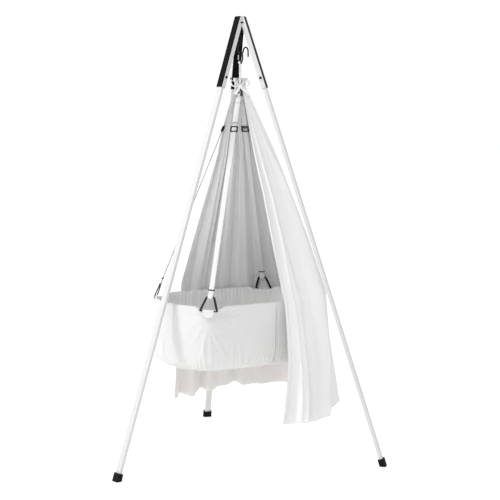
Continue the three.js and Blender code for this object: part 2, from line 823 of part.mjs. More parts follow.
// Its radius at the hem, where the front curtain swings out furthest.
const HEM = [
  [-78, 318], [-66, 368], [-55, 380], [-38, 408], [-20, 416], [0, 408], [30, 396], [50, 352], [72, 300], [90, 292], [120, 300],
];
function veilHem(t) {
  const d = t / rad(1),
    i = Math.min(Math.max(HEM.findIndex(([a]) => a >= d), 1), HEM.length - 1);
  const [[a0, r0], [a1, r1]] = [HEM[i - 1], HEM[i]];
  return r0 + ((r1 - r0) * (d - a0)) / (a1 - a0);
}
const veilLevels = [
  [VEIL_TOP_Z, (t) => VEIL_NECK_R + 1],
  [VEIL_NECK_Z, (t) => VEIL_NECK_R],
  [1120, (t) => VEIL_NECK_R + ((veilRim(t) - VEIL_NECK_R) * (VEIL_NECK_Z - 1120)) / (VEIL_NECK_Z - 700)],
  [700, (t) => veilRim(t)],
  [450, (t) => veilRim(t) + 0.4 * (veilHem(t) - veilRim(t))],
  [VEIL_HEM_Z, veilHem],
];
{
  const steps = VEIL_ANGLES.length - 1,
    points = [],
    faces = [],
    K = veilLevels.length;
  for (let i = 0; i <= steps; i++) {
    const t = rad(VEIL_ANGLES[i]);
    for (const thick of [VEIL_T, 0])
      for (const [z, r] of veilLevels)
        points.push(V((r(t) + thick) * Math.cos(t), (r(t) + thick) * Math.sin(t), z));
  }
  const id = (i, side, k) => i * 2 * K + side * K + k;
  const quad = (a, b, c, d) => faces.push(a, b, c, a, c, d);
  for (let i = 0; i < steps; i++) {
    for (let k = 0; k < K - 1; k++) {
      quad(id(i, 0, k), id(i, 0, k + 1), id(i + 1, 0, k + 1), id(i + 1, 0, k));
      quad(id(i, 1, k), id(i + 1, 1, k), id(i + 1, 1, k + 1), id(i, 1, k + 1));
    }
    quad(id(i, 0, 0), id(i + 1, 0, 0), id(i + 1, 1, 0), id(i, 1, 0));
    quad(id(i, 0, K - 1), id(i, 1, K - 1), id(i + 1, 1, K - 1), id(i + 1, 0, K - 1));
  }
  for (let k = 0; k < K - 1; k++) {
    quad(id(0, 0, k), id(0, 1, k), id(0, 1, k + 1), id(0, 0, k + 1));
    quad(id(steps, 0, k), id(steps, 0, k + 1), id(steps, 1, k + 1), id(steps, 1, k));
  }
  add("veil", indexed(points, faces), "voile");
}
// tie: a ribbon drawn round the veil's neck
{
  const o = solid(new THREE.CylinderGeometry(26, 25, 12, 20).rotateX(Math.PI / 2).translate(0, 0, 1539)),
    i = solid(new THREE.CylinderGeometry(21.4, 21.4, 40, 20).rotateX(Math.PI / 2).translate(0, 0, 1539));
  add("veil_tie", geometryOf(o.subtract(i)), "voile");
}

// ---------------------------------------------------------------- the origin is the middle of the footprint, on the floor
group.updateMatrixWorld(true);
const bounds = new THREE.Box3().setFromObject(group);
group.position.set(-(bounds.min.x + bounds.max.x) / 2, -(bounds.min.y + bounds.max.y) / 2, 0);
group.updateMatrixWorld(true);

export default group;
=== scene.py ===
import json
import math
import random

import bpy
import numpy as np
from mathutils import Matrix, Vector

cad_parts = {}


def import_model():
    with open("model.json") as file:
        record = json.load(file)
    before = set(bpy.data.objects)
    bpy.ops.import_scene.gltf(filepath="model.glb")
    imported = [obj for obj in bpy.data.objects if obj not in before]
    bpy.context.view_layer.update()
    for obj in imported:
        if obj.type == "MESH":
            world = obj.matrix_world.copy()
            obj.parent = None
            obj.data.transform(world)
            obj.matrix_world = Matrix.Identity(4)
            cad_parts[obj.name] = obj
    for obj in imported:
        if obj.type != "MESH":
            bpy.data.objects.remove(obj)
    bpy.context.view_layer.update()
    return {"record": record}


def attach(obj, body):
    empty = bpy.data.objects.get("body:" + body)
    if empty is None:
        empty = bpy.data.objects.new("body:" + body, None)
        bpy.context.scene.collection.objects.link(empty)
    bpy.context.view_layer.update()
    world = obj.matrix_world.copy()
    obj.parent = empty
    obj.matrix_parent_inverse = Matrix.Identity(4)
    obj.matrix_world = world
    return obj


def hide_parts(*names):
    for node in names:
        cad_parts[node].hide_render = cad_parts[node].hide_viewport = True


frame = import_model()
random.seed(7)
rng = np.random.default_rng(7)

# ------------------------------------------------------------------ the shared frame
joints = {j["name"]: j for j in frame["record"]["behaviour"]["joints"]}
OX, OY, _ = joints["hook_turn"]["pos_m"]  # the tripod's axis
MM = 0.001
rad = math.radians


def world(p):
    """Millimetres about the tripod's axis to metres in the row frame."""
    p = np.asarray(p, float)
    out = p * MM
    out[..., 0] += OX
    out[..., 1] += OY
    return out


# ------------------------------------------------------------------ camera
PHI = rad(31.5)
PITCH, YAW, ROLL, CAM_H = 0.108877, 0.009653, 0.011588, 1.40249


def spin(v):
    return Vector(
        (
            v.x * math.cos(PHI) + v.y * math.sin(PHI),
            -v.x * math.sin(PHI) + v.y * math.cos(PHI),
            v.z,
        )
    )


forward = Vector(
    (math.sin(YAW) * math.cos(PITCH), math.cos(YAW) * math.cos(PITCH), -math.sin(PITCH))
)
right0 = Vector((math.cos(YAW), -math.sin(YAW), 0))
up0 = right0.cross(forward)
right1 = right0 * math.cos(ROLL) + up0 * math.sin(ROLL)
up1 = -right0 * math.sin(ROLL) + up0 * math.cos(ROLL)
fw, rt, up = spin(forward), spin(right1), spin(up1)
cam_data = bpy.data.cameras.new("camera")
cam = bpy.data.objects.new("camera", cam_data)
bpy.context.scene.collection.objects.link(cam)
place = Matrix.Identity(4)
for i in range(3):
    place[i][0], place[i][1], place[i][2] = rt[i], up[i], -fw[i]
loc = spin(Vector((0, -5, CAM_H)))
place.translation = Vector((loc.x + OX, loc.y + OY, loc.z))
cam.matrix_world = place
cam_data.lens = 87.6
cam_data.sensor_width = 36
bpy.context.scene.camera = cam

# ------------------------------------------------------------------ light and floor
world_data = bpy.data.worlds.new("studio")
bpy.context.scene.world = world_data
world_data.use_nodes = True
bg = world_data.node_tree.nodes["Background"]
bg.inputs[0].default_value = (1, 1, 1, 1)
# white behind the cradle, dimmer towards the front right, so that the folds of the cloth are modelled by the light
wnt = bpy.context.scene.world.node_tree
toward = wnt.nodes.new("ShaderNodeTexCoord")
dot = wnt.nodes.new("ShaderNodeVectorMath")
dot.operation = "DOT_PRODUCT"
dot.inputs[1].default_value = (math.cos(rad(95)), math.sin(rad(95)), 0)
fall = wnt.nodes.new("ShaderNodeMapRange")
fall.inputs["From Min"].default_value = -0.7
fall.inputs["From Max"].default_value = 0.45
fall.inputs["To Min"].default_value = 0.62
fall.inputs["To Max"].default_value = 1.02
wnt.links.new(toward.outputs["Generated"], dot.inputs[0])
wnt.links.new(dot.outputs["Value"], fall.inputs["Value"])
wnt.links.new(fall.outputs["Result"], bg.inputs[1])


def area_light(name, at, target, size, power):
    d = bpy.data.lights.new(name, "AREA")
    d.shape = "SQUARE"
    d.size = size
    d.energy = power
    o = bpy.data.objects.new(name, d)
    bpy.context.scene.collection.objects.link(o)
    p = spin(Vector(at)) + Vector((OX, OY, 0))
    t = spin(Vector(target)) + Vector((OX, OY, 0))
    o.location = p
    o.rotation_euler = (t - p).to_track_quat("-Z", "Y").to_euler()
    return o


area_light("key", (-3.9, -1.5, 2.6), (0, 0, 0.75), 0.6, 64)
area_light("soft_top", (-0.5, -3.0, 3.3), (0, 0.1, 0.85), 2.0, 34)
area_light("fill", (2.9, -2.6, 1.9), (0, 0, 0.8), 2.0, 4)
bpy.context.scene.view_settings.view_transform = "Standard"


# ------------------------------------------------------------------ materials
def material(
    name,
    color,
    rough,
    metal=0.0,
    sheen=0.0,
    weave=None,
    grain=None,
    mottled=0.0,
    rough_var=0.08,
    coat=0.0,
    specular=0.5,
    bump=0.15,
    translucent=0.0,
):
    """weave is (threads per metre across, along, strength) in UV metres; grain is (noise scale, strength) in object space."""
    m = bpy.data.materials.new(name)
    m.use_nodes = True
    nt = m.node_tree
    bsdf = nt.nodes["Principled BSDF"]
    link = nt.links.new
    bsdf.inputs["Metallic"].default_value = metal
    bsdf.inputs["Base Color"].default_value = (*color, 1)
    bsdf.inputs["Roughness"].default_value = rough
    bsdf.inputs["Specular IOR Level"].default_value = specular
    if sheen:
        bsdf.inputs["Sheen Weight"].default_value = sheen
        bsdf.inputs["Sheen Roughness"].default_value = 0.5
    if coat:
        bsdf.inputs["Coat Weight"].default_value = coat
        bsdf.inputs["Coat Roughness"].default_value = 0.25
    coords = nt.nodes.new("ShaderNodeTexCoord")
    noise = nt.nodes.new("ShaderNodeTexNoise")
    noise.inputs["Scale"].default_value = 9.0
    noise.inputs["Detail"].default_value = 4.0
    link(coords.outputs["Object"], noise.inputs["Vector"])
    ramp = nt.nodes.new("ShaderNodeMapRange")
    ramp.inputs["To Min"].default_value = max(0.02, rough - rough_var)
    ramp.inputs["To Max"].default_value = min(1.0, rough + rough_var)
    link(noise.outputs["Fac"], ramp.inputs["Value"])
    link(ramp.outputs["Result"], bsdf.inputs["Roughness"])
    if mottled:
        mix = nt.nodes.new("ShaderNodeMix")
        mix.data_type = "RGBA"
        mix.inputs["A"].default_value = (*[c * (1 - mottled) for c in color], 1)
        mix.inputs["B"].default_value = (*[min(1, c * (1 + mottled * 0.4)) for c in color], 1)
        link(noise.outputs["Fac"], mix.inputs["Factor"])
        link(mix.outputs["Result"], bsdf.inputs["Base Color"])
    height = None
    if weave:
        across, along, strength = weave
        uv = nt.nodes.new("ShaderNodeTexCoord")
        parts = []
        for axis, count in (("X", across), ("Y", along)):
            w = nt.nodes.new("ShaderNodeTexWave")
            w.wave_type = "BANDS"
            w.bands_direction = axis
            w.inputs["Scale"].default_value = count / 3.14159 / 2
            w.inputs["Distortion"].default_value = 0.6
            w.inputs["Detail"].default_value = 0.0
            link(uv.outputs["UV"], w.inputs["Vector"])
            parts.append(w)
        height = nt.nodes.new("ShaderNodeMath")
        height.operation = "ADD"
        link(parts[0].outputs["Fac"], height.inputs[0])
        link(parts[1].outputs["Fac"], height.inputs[1])
        b = nt.nodes.new("ShaderNodeBump")
        b.inputs["Strength"].default_value = strength
        b.inputs["Distance"].default_value = 0.0004
        link(height.outputs[0], b.inputs["Height"])
        link(b.outputs["Normal"], bsdf.inputs["Normal"])
    if grain:
        scale, strength = grain
        n2 = nt.nodes.new("ShaderNodeTexNoise")
        n2.inputs["Scale"].default_value = scale
        n2.inputs["Detail"].default_value = 6.0
        link(coords.outputs["Object"], n2.inputs["Vector"])
        b2 = nt.nodes.new("ShaderNodeBump")
        b2.inputs["Strength"].default_value = strength
        b2.inputs["Distance"].default_value = 0.0006
        link(n2.outputs["Fac"], b2.inputs["Height"])
        if weave:
            link(b.outputs["Normal"], b2.inputs["Normal"])
        link(b2.outputs["Normal"], bsdf.inputs["Normal"])
    return m


M = {
    "white_paint": material("white_paint", (0.61, 0.61, 0.615), 0.42, coat=0.15, grain=(260, 0.06)),
    "black_steel": material("black_steel", (0.004, 0.004, 0.0045), 0.5, grain=(400, 0.12), specular=0.06),
    "pale_paint": material("pale_paint", (0.58, 0.58, 0.585), 0.4, grain=(400, 0.08)),
    "black_wire": material("black_wire", (0.005, 0.005, 0.005), 0.4, grain=(300, 0.08), specular=0.25),
    "plain_steel": material("plain_steel", (0.52, 0.52, 0.53), 0.34, metal=1.0, grain=(500, 0.08)),
    "black_rubber": material("black_rubber", (0.006, 0.006, 0.006), 0.8, grain=(220, 0.25), specular=0.15),
    "black_plastic": material("black_plastic", (0.006, 0.006, 0.006), 0.5, grain=(350, 0.12), specular=0.2),
    "webbing": material(
        "webbing", (0.72, 0.72, 0.712), 0.85, sheen=0.25, weave=(900, 520, 0.5), mottled=0.03
    ),
    "cotton": material(
        "cotton", (0.67, 0.67, 0.668), 0.9, sheen=0.3, weave=(1400, 1400, 0.25), mottled=0.02, grain=(60, 0.06)
    ),
    "lining_cloth": material(
        "lining_cloth", (0.86, 0.86, 0.857), 0.92, sheen=0.3, weave=(1400, 1400, 0.25), mottled=0.02
    ),
    "mattress_cloth": material(
        "mattress_cloth", (0.68, 0.68, 0.67), 0.92, sheen=0.3, weave=(1100, 1100, 0.3), mottled=0.03
    ),
    "veil_cloth": material(
        "veil_cloth", (0.79, 0.79, 0.792), 0.92, sheen=0.35, weave=(1700, 1700, 0.2), mottled=0.015
    ),
    "thread": material("thread", (0.64, 0.64, 0.635), 0.8, weave=(2500, 2500, 0.3)),
    "wood_board": material("wood_board", (0.6, 0.42, 0.24), 0.6, mottled=0.2, grain=(40, 0.2)),
}
BACKDROP = material("floor", (0.93, 0.93, 0.93), 0.85)
glow = BACKDROP.node_tree.nodes["Principled BSDF"]
glow.inputs["Emission Color"].default_value = (1, 1, 1, 1)
glow.inputs["Emission Strength"].default_value = 0.3


# ------------------------------------------------------------------ meshes
def mesh_object(name, verts, faces, mat, body, uvs=None, smooth=True, replaces=(), slot=None, metres=False):
    me = bpy.data.meshes.new(name)
    v = np.asarray(verts, float)
    if not metres:
        v = world(v)
    me.from_pydata(v.tolist(), [], [tuple(f) for f in faces])
    me.update()
    if uvs is not None:
        layer = me.uv_layers.new(name="UVMap")
        uvs = np.asarray(uvs, float)
        idx = np.empty(len(me.loops), np.int32)
        me.loops.foreach_get("vertex_index", idx)
        layer.data.foreach_set("uv", uvs[idx].ravel())
    if smooth:
        me.polygons.foreach_set("use_smooth", [True] * len(me.polygons))
    me.materials.append(M[mat])
    o = bpy.data.objects.new(name, me)
    bpy.context.scene.collection.objects.link(o)
    bpy.context.view_layer.update()
    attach(o, body)
    if replaces:
        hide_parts(*([replaces] if isinstance(replaces, str) else replaces))
    return o


def merge(parts):
    """Several (verts, faces, uvs) into one."""
    V, F, U, n = [], [], [], 0
    for v, f, u in parts:
        V.append(np.asarray(v, float))
        F += [tuple(i + n for i in x) for x in f]
        U.append(np.zeros((len(v), 2)) if u is None else np.asarray(u, float))
        n += len(v)
    return np.concatenate(V), F, np.concatenate(U)


def skin(rings, closed=False, cap=True, uv=None):
    """Faces over rings of points (k, n, 3), each ring closed on itself."""
    rings = np.asarray(rings, float)
    k, n = rings.shape[:2]
    F = []
    for i in range(k if closed else k - 1):
        a, b = i * n, ((i + 1) % k) * n
        for j in range(n):
            q = (j + 1) % n
            F.append((a + j, a + q, b + q, b + j))
    if cap and not closed:
        F.append(tuple(range(n - 1, -1, -1)))
        F.append(tuple((k - 1) * n + j for j in range(n)))
    V = rings.reshape(-1, 3)
    if uv is None:
        U = np.zeros((len(V), 2))
    else:
        U = np.asarray(uv, float).reshape(-1, 2)
    return outward(V, F), F, U


def outward(V, F):
    """Turns the faces round, in place, if they point in."""
    vol = 0.0
    for f in F:
        a = V[f[0]]
        for i in range(1, len(f) - 1):
            vol += np.dot(a, np.cross(V[f[i]], V[f[i + 1]]))
    if vol < 0:
        for i, f in enumerate(F):
            F[i] = tuple(reversed(f))
    return V


def unit(v):
    v = np.asarray(v, float)
    return v / np.maximum(np.linalg.norm(v, axis=-1, keepdims=True), 1e-12)


def tangents(P, closed=False):
    P = np.asarray(P, float)
    if closed:
        return unit(np.roll(P, -1, 0) - np.roll(P, 1, 0))
    T = np.empty_like(P)
    T[1:-1] = P[2:] - P[:-2]
    T[0] = P[1] - P[0]
    T[-1] = P[-1] - P[-2]
    return unit(T)


def smooth_path(points, per=8, closed=False):
    """A Catmull-Rom line through the points."""
    P = np.asarray(points, float)
    n = len(P)
    out = []
    for i in range(n if closed else n - 1):
        if closed:
            a, b, c, d = P[(i - 1) % n], P[i], P[(i + 1) % n], P[(i + 2) % n]
        else:
            a, b, c, d = P[max(i - 1, 0)], P[i], P[i + 1], P[min(i + 2, n - 1)]
        for t in np.linspace(0, 1, per, endpoint=False):
            out.append(
                0.5
                * (
                    2 * b
                    + (c - a) * t
                    + (2 * a - 5 * b + 4 * c - d) * t * t
                    + (3 * b - a - 3 * c + d) * t**3
                )
            )
    if not closed:
        out.append(P[-1])
    return np.array(out)


def tube(P, radius, normal, sides=12, closed=False, cap_round=True, widen=None):
    """A round wire along a path in the plane with that normal."""
    P = np.asarray(P, float)
    T = tangents(P, closed)
    N = unit(np.asarray(normal, float))
    B = unit(np.cross(N, T))
    a = np.linspace(0, 2 * np.pi, sides, endpoint=False)
    R = np.full(len(P), radius, float)
    if not closed and cap_round:
        # two small rings at each end round it off
        P = np.concatenate([[P[0]], [P[0]], P[1:-1], [P[-1]], [P[-1]]])
        R = np.concatenate([[radius * 0.55], [radius], R[1:-1], [radius], [radius * 0.55]])
        T2 = np.concatenate([[T[0]], [T[0]], T[1:-1], [T[-1]], [T[-1]]])
        B = np.concatenate([[B[0]], [B[0]], B[1:-1], [B[-1]], [B[-1]]])
        P = P.copy()
        P[1] += T2[0] * radius * 0.35
        P[-2] -= T2[-1] * radius * 0.35
    rings = (
        P[:, None, :]
        + np.cos(a)[None, :, None]
        * B[:, None, :]
        * (R if widen is None else R * widen)[:, None, None]
        + np.sin(a)[None, :, None] * N[None, None, :] * R[:, None, None]
    )
    return skin(rings, closed)


def ribbon(P, W, width, thick, closed=False, edge=None, taper=None):
    """A flat band along the path P, its width along W, with rounded selvages. UVs are in metres."""
    P = np.asarray(P, float)
    T = tangents(P, closed)
    W = np.broadcast_to(np.asarray(W, float), P.shape)
    W = unit(W - (W * T).sum(1, keepdims=True) * T)
    N = np.cross(T, W)
    e = min(thick * 0.9, width * 0.2) if edge is None else edge
    w, t = width / 2, thick / 2
    sec = [(-w, -t * 0.35), (-w + e, -t), (0, -t), (w - e, -t), (w, -t * 0.35)]
    sec += [(-x, -y) for x, y in sec]
    sec = np.array(sec)
    scale = np.ones(len(P)) if taper is None else np.asarray(taper, float)
    rings = (
        P[:, None, :]
        + sec[None, :, 0, None] * W[:, None, :] * scale[:, None, None]
        + sec[None, :, 1, None] * N[:, None, :]
    )
    d = np.concatenate([[0], np.cumsum(np.linalg.norm(np.diff(P, axis=0), axis=1))]) * MM
    uv = np.stack(
        [
            np.broadcast_to(sec[None, :, 0] * MM, (len(P), len(sec))),
            np.broadcast_to(d[:, None], (len(P), len(sec))),
        ],
        -1,
    )
    return skin(rings, closed, uv=uv)


def box_part(lo, hi, matrix=None, bevel=0.6):
    """A box with chamfered edges, in millimetres."""
    lo, hi = np.asarray(lo, float), np.asarray(hi, float)
    b = min(bevel, *(0.45 * (hi - lo)))
    V, F = [], []
    idx = {}
    for sx in (0, 1):
        for sy in (0, 1):
            for sz in (0, 1):
                c = [hi[0] if sx else lo[0], hi[1] if sy else lo[1], hi[2] if sz else lo[2]]
                s = [-1 if sx else 1, -1 if sy else 1, -1 if sz else 1]
                for ax in range(3):
                    p = [c[i] + (s[i] * b if i != ax else 0) for i in range(3)]
                    idx[(sx, sy, sz, ax)] = len(V)
                    V.append(p)
    bits = [0, 1]
    for ax in range(3):
        o = [i for i in range(3) if i != ax]
        for side in bits:
            q = []
            for u, w in ((0, 0), (1, 0), (1, 1), (0, 1)):
                k = [0, 0, 0]
                k[ax], k[o[0]], k[o[1]] = side, u, w
                q.append(idx[(*k, ax)])
            F.append(tuple(q))
    for ax in range(3):  # edges along ax
        o = [i for i in range(3) if i != ax]
        for u in bits:
            for w in bits:
                k0, k1 = [0, 0, 0], [0, 0, 0]
                k0[ax], k1[ax] = 0, 1
                for k in (k0, k1):
                    k[o[0]], k[o[1]] = u, w
                F.append(
                    (idx[(*k0, o[0])], idx[(*k1, o[0])], idx[(*k1, o[1])], idx[(*k0, o[1])])
                )
    for sx in bits:
        for sy in bits:
            for sz in bits:
                F.append(tuple(idx[(sx, sy, sz, ax)] for ax in range(3)))
    V = np.array(V)
    # each face is turned to look away from the centre
    c = V.mean(0)
    for i, f in enumerate(F):
        p = V[list(f)]
        n = np.cross(p[1] - p[0], p[2] - p[0])
        if np.dot(n, p.mean(0) - c) < 0:
            F[i] = tuple(reversed(f))
    if matrix is not None:
        V = V @ matrix[:3, :3].T + matrix[:3, 3]
    return V, F, V[:, :2] * MM


def stitches(P, W, N, count, length, width=0.7):
    """A row of thread stitches along P, each a small raised capsule."""
    parts = []
    P = np.asarray(P, float)
    d = np.concatenate([[0], np.cumsum(np.linalg.norm(np.diff(P, axis=0), axis=1))])
    for i in range(count):
        s0 = d[-1] * (i + 0.2) / count
        s1 = min(d[-1], s0 + length)
        q = np.array([[np.interp(s, d, P[:, k]) for k in range(3)] for s in np.linspace(s0, s1, 4)])
        q[0] -= N * width * 0.5
        q[-1] -= N * width * 0.5
        parts.append(tube(q, width / 2, W, 6, cap_round=False))
    return parts


# ------------------------------------------------------------------ the cradle's outline and wall, as in the CAD
END_X, END_R, SIDE_Y = 53.0, 302.0, 223.5
HALF_X = END_X + END_R
RIM_Z, BOTTOM_Z = 667.0, 400.0


def outline(th):
    c, s = np.abs(np.cos(th)), np.abs(np.sin(th))
    end = END_X * c + np.sqrt(END_R**2 - (END_X * s) ** 2)
    side = SIDE_Y / np.maximum(s, 1e-6)
    p = 16
    return (end**-p + side**-p) ** (-1 / p)


def rim_dip(th):
    d = np.degrees(th)
    best = np.zeros_like(d)
    for a in (39.5, 140.5, 219.5, 320.5):
        off = (d - a + 180) % 360 - 180
        best = np.maximum(best, 13 * np.exp(-((off / 8.2) ** 8)))
    return best


def inset_point(th, inset, z):
    r = outline(th)
    return np.stack(
        np.broadcast_arrays(
            r * np.cos(th) * (1 - inset / HALF_X), r * np.sin(th) * (1 - inset / SIDE_Y), z
        ),
        -1,
    )


PROFILE = np.array(
    [[667, 0], [610, -1], [540, -2], [470, 0], [440, 5], [421, 14], [407, 28], [400.4, 46], [400, 72]],
    float,
)


def profile_at(t):
    """(z, inset) at a share of the wall's length, 0 at the rim."""
    d = np.concatenate([[0], np.cumsum(np.hypot(*np.diff(PROFILE, axis=0).T))])
    s = np.asarray(t) * d[-1]
    # eased, so that the corners of the polyline are round
    out = 0
    for k, w in ((-7, 0.25), (0, 0.5), (7, 0.25)):
        q = np.clip(s + k, 0, d[-1])
        out = out + w * np.stack([np.interp(q, d, PROFILE[:, 0]), np.interp(q, d, PROFILE[:, 1])], -1)
    return out


PROFILE_LEN = float(np.hypot(*np.diff(PROFILE, axis=0).T).sum())


def grid_faces(rows, cols, offset=0, flip=False):
    F = []
    for i in range(rows - 1):
        for j in range(cols - 1):
            a = offset + i * cols + j
            f = (a, a + 1, a + cols + 1, a + cols)
            F.append(tuple(reversed(f)) if flip else f)
    return F


def shell(outer, inner, uv):
    """A closed thin sheet between two grids (rows, cols, 3)."""
    rows, cols = outer.shape[:2]
    n = rows * cols
    V = np.concatenate([outer.reshape(-1, 3), inner.reshape(-1, 3)])
    F = grid_faces(rows, cols) + grid_faces(rows, cols, n, True)
    for j in range(cols - 1):
        a, b = j, j + 1
        F.append((a, n + a, n + b, b))
        a, b = (rows - 1) * cols + j, (rows - 1) * cols + j + 1
        F.append((a, b, n + b, n + a))
    for i in range(rows - 1):
        a, b = i * cols, (i + 1) * cols
        F.append((a, b, n + b, n + a))
        a, b = i * cols + cols - 1, (i + 1) * cols + cols - 1
        F.append((a, n + a, n + b, b))
    U = np.concatenate([uv.reshape(-1, 2)] * 2)
    return outward(V, F), F, U


def grid_normals(G):
    du = np.gradient(G, axis=0)
    dv = np.gradient(G, axis=1)
    return unit(np.cross(du, dv))


def ridge(X, Y, a, b, width, amp, taper=0.35):
    """A fold from a to b, in flat coordinates: a rounded crest that fades at its ends."""
    ax, ay = a
    bx, by = b
    lx, ly = bx - ax, by - ay
    L2 = lx * lx + ly * ly
    t = ((X - ax) * lx + (Y - ay) * ly) / L2
    dx, dy = X - (ax + t * lx), Y - (ay + t * ly)
    d = np.hypot(dx, dy)
    w = width * (0.75 + 0.5 * np.clip(t, 0, 1))
    ends = np.clip((t + 0.02) / taper, 0, 1) * np.clip((1.02 - t) / taper, 0, 1)
    ends = ends * ends * (3 - 2 * ends)
    crest = np.exp(-((d / w) ** 2)) - 0.45 * np.exp(-((d / (2.1 * w)) ** 2))
    return amp * crest * ends


# ------------------------------------------------------------------ covers
SEAMS = {"front": (192.9, 281.4), "right": (281.4, 372.9), "back": (12.9, 101.4), "left": (101.4, 192.9)}
RING_AT = {"front": 219.5, "right": 320.5, "back": 39.5, "left": 140.5}
NS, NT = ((130, 64))


def value_noise(X, Y, cell, seed):
    r = np.random.default_rng(seed)
    gx = np.floor(X / cell).astype(int)
    gy = np.floor(Y / cell).astype(int)
    fx, fy = X / cell - gx, Y / cell - gy
    fx, fy = fx * fx * (3 - 2 * fx), fy * fy * (3 - 2 * fy)
    table = r.random((64, 64)) * 2 - 1
    g = lambda i, j: table[i % 64, j % 64]
    return (
        g(gx, gy) * (1 - fx) * (1 - fy)
        + g(gx + 1, gy) * fx * (1 - fy)
        + g(gx, gy + 1) * (1 - fx) * fy
        + g(gx + 1, gy + 1) * fx * fy
    )


def cover(name, lo, hi, ring_deg, seed):
    th = np.radians(np.linspace(lo + 0.05, hi - 0.05, NS))
    t = np.linspace(0, 1, NT) ** 0.9
    pr = profile_at(t)
    arc_pts = inset_point(th, 0.0, 0.0)
    arc = np.concatenate([[0], np.cumsum(np.linalg.norm(np.diff(arc_pts, axis=0), axis=1))])
    TH, _ = np.meshgrid(th, t, indexing="ij")
    Z = np.broadcast_to(pr[None, :, 0], TH.shape).copy()
    INS = np.broadcast_to(pr[None, :, 1], TH.shape)
    dip = rim_dip(TH)
    fade = np.clip((Z - 600) / 67, 0, 1)
    Z = Z - dip * fade
    base = inset_point(TH, INS, Z)
    X = np.broadcast_to(arc[:, None], TH.shape)
    Y = np.broadcast_to((1 - t)[None, :] * PROFILE_LEN, TH.shape)  # up the cloth, 0 at the turned-under edge
    top = PROFILE_LEN
    r = np.random.default_rng(seed)
    xr = float(np.interp(np.radians(ring_deg), th, arc))
    yr = top - 30
    D = np.zeros_like(X)
    # tension folds that fan out from the tab, longest along the rim
    fans = [
        (18, -8, 95, 10, 7, 2.6),
        (26, -20, 130, 6, 8, 2.8),
        (38, -34, 160, -6, 9, 2.2),
        (22, -48, 120, -50, 10, 1.3),
        (6, -60, 66, -190, 13, 1.8),
        (-2, -60, 10, -225, 14, 1.5),
        (-8, -52, -42, -215, 13, 1.8),
        (-20, -40, -95, -160, 13, 2.0),
        (-24, -24, -115, -70, 11, 1.7),
        (-20, -8, -85, 8, 8, 2.2),
    ]
    for x0, y0, x1, y1, w, amp in fans:
        j = r.uniform(-0.15, 0.15, 4)
        D += ridge(
            X,
            Y,
            (xr + x0 * (1 + j[0]), yr + y0 * (1 + j[1])),
            (xr + x1 * (1 + j[2]), yr + y1 * (1 + j[3] * 0.4)),
            w * 0.62,
            amp,
        )
    D *= 2.3
    # a hollow of the cloth between the tab's pull and the seams
    for e, sgn in ((0.0, 1), (arc[-1], -1)):
        D -= 1.5 * np.exp(-(((X - e) / 40) ** 2)) * np.exp(-(((Y - top * 0.55) / 95) ** 2))
    # tucks that run up from the gathered edge
    x = 8.0
    while x < arc[-1] - 8:
        big = r.random() < 0.3
        h = r.uniform(60, 130) if big else r.uniform(18, 50)
        lean = r.uniform(-14, 14)
        D += ridge(
            X, Y, (x, 30), (x + lean, 62 + h), r.uniform(5, 8) if big else r.uniform(3.2, 5.5),
            r.uniform(4.2, 6.2) if big else r.uniform(2.0, 3.8), 0.3,
        )
        x += r.uniform(9, 22)
    gather = np.exp(-np.clip(Y - 34, 0, None) / 30)
    D += gather * 3.0 * np.sin(X * 2 * np.pi / 17 + 2.5 * value_noise(X, Y * 0, 46, seed + 5))
    D += 1.5 * value_noise(X, Y, 58, seed + 1) + 0.5 * value_noise(X, Y, 23, seed + 2)
    # a stitched hem at the rim, thick for its first 16 mm
    rim = top - Y
    D += 0.9 * np.clip(1 - np.abs(rim - 8) / 9, 0, 1) ** 0.5
    D -= 0.9 * np.exp(-(((rim - 17) / 1.6) ** 2))
    # the edges: one laps over its neighbour, the other lies under it
    mid = np.clip((Y - 70) / 60, 0, 1) * np.clip((top + 25 - Y) / 60, 0, 1)
    lap = {"front": (8.5, 2.2), "right": (-1.8, 1.5), "back": (1.5, 1.2), "left": (1.2, -4.5)}[name]
    D += lap[0] * mid * np.exp(-((X / 26) ** 2))
    D += lap[1] * mid * np.exp(-(((arc[-1] - X) / 26) ** 2))
    nearest = np.minimum(X, arc[-1] - X)
    D -= 1.6 * np.clip(1 - nearest / 4.0, 0, 1) ** 2
    D -= 0.8 * np.exp(-(((nearest - 11) / 1.3) ** 2)) * np.clip((Y - 40) / 30, 0, 1)
    # flat behind the tab
    tab = np.exp(-(((X - xr) / 24) ** 4)) * np.exp(-(((Y - (top - 26)) / 24) ** 4))
    D = D * (1 - 0.75 * tab)
    N = grid_normals(base)
    if np.mean((N * base * np.array([1, 1, 0])).sum(-1)) < 0:
        N = -N
    under = np.clip((Z - 400.5) / 14, 0, 1)  # nothing hangs below the board's underside
    D = np.where(D > 0, D * (0.35 + 0.65 * under), D)
    D = np.clip(D, -4.5, 8.5)
    outer = base + N * D[..., None]
    depth = np.clip(2.4 + 0.9 * np.clip(1 - np.abs(rim - 8) / 9, 0, 1) ** 0.5, 0, 4.2)
    # rounded rim and edges
    roundness = np.sqrt(np.clip(np.minimum(rim, nearest + 0.35) / 2.2, 0.02, 1))
    half = depth * 0.5 * roundness
    centre = outer - N * (depth * 0.5)[..., None]
    outer2 = centre + N * half[..., None]
    inner2 = centre - N * half[..., None]
    uv = np.stack([X * MM, Y * MM], -1)
    v, f, u = shell(outer2, inner2, uv)
    o = mesh_object("cloth_cover_" + name, v, f, "cotton", "cradle_body", u, replaces="cover_" + name)
    return o


for k, (name, (lo, hi)) in enumerate(SEAMS.items()):
    cover(name, lo, hi, RING_AT[name] if not (name == "right") else 320.5, 40 + 10 * k)

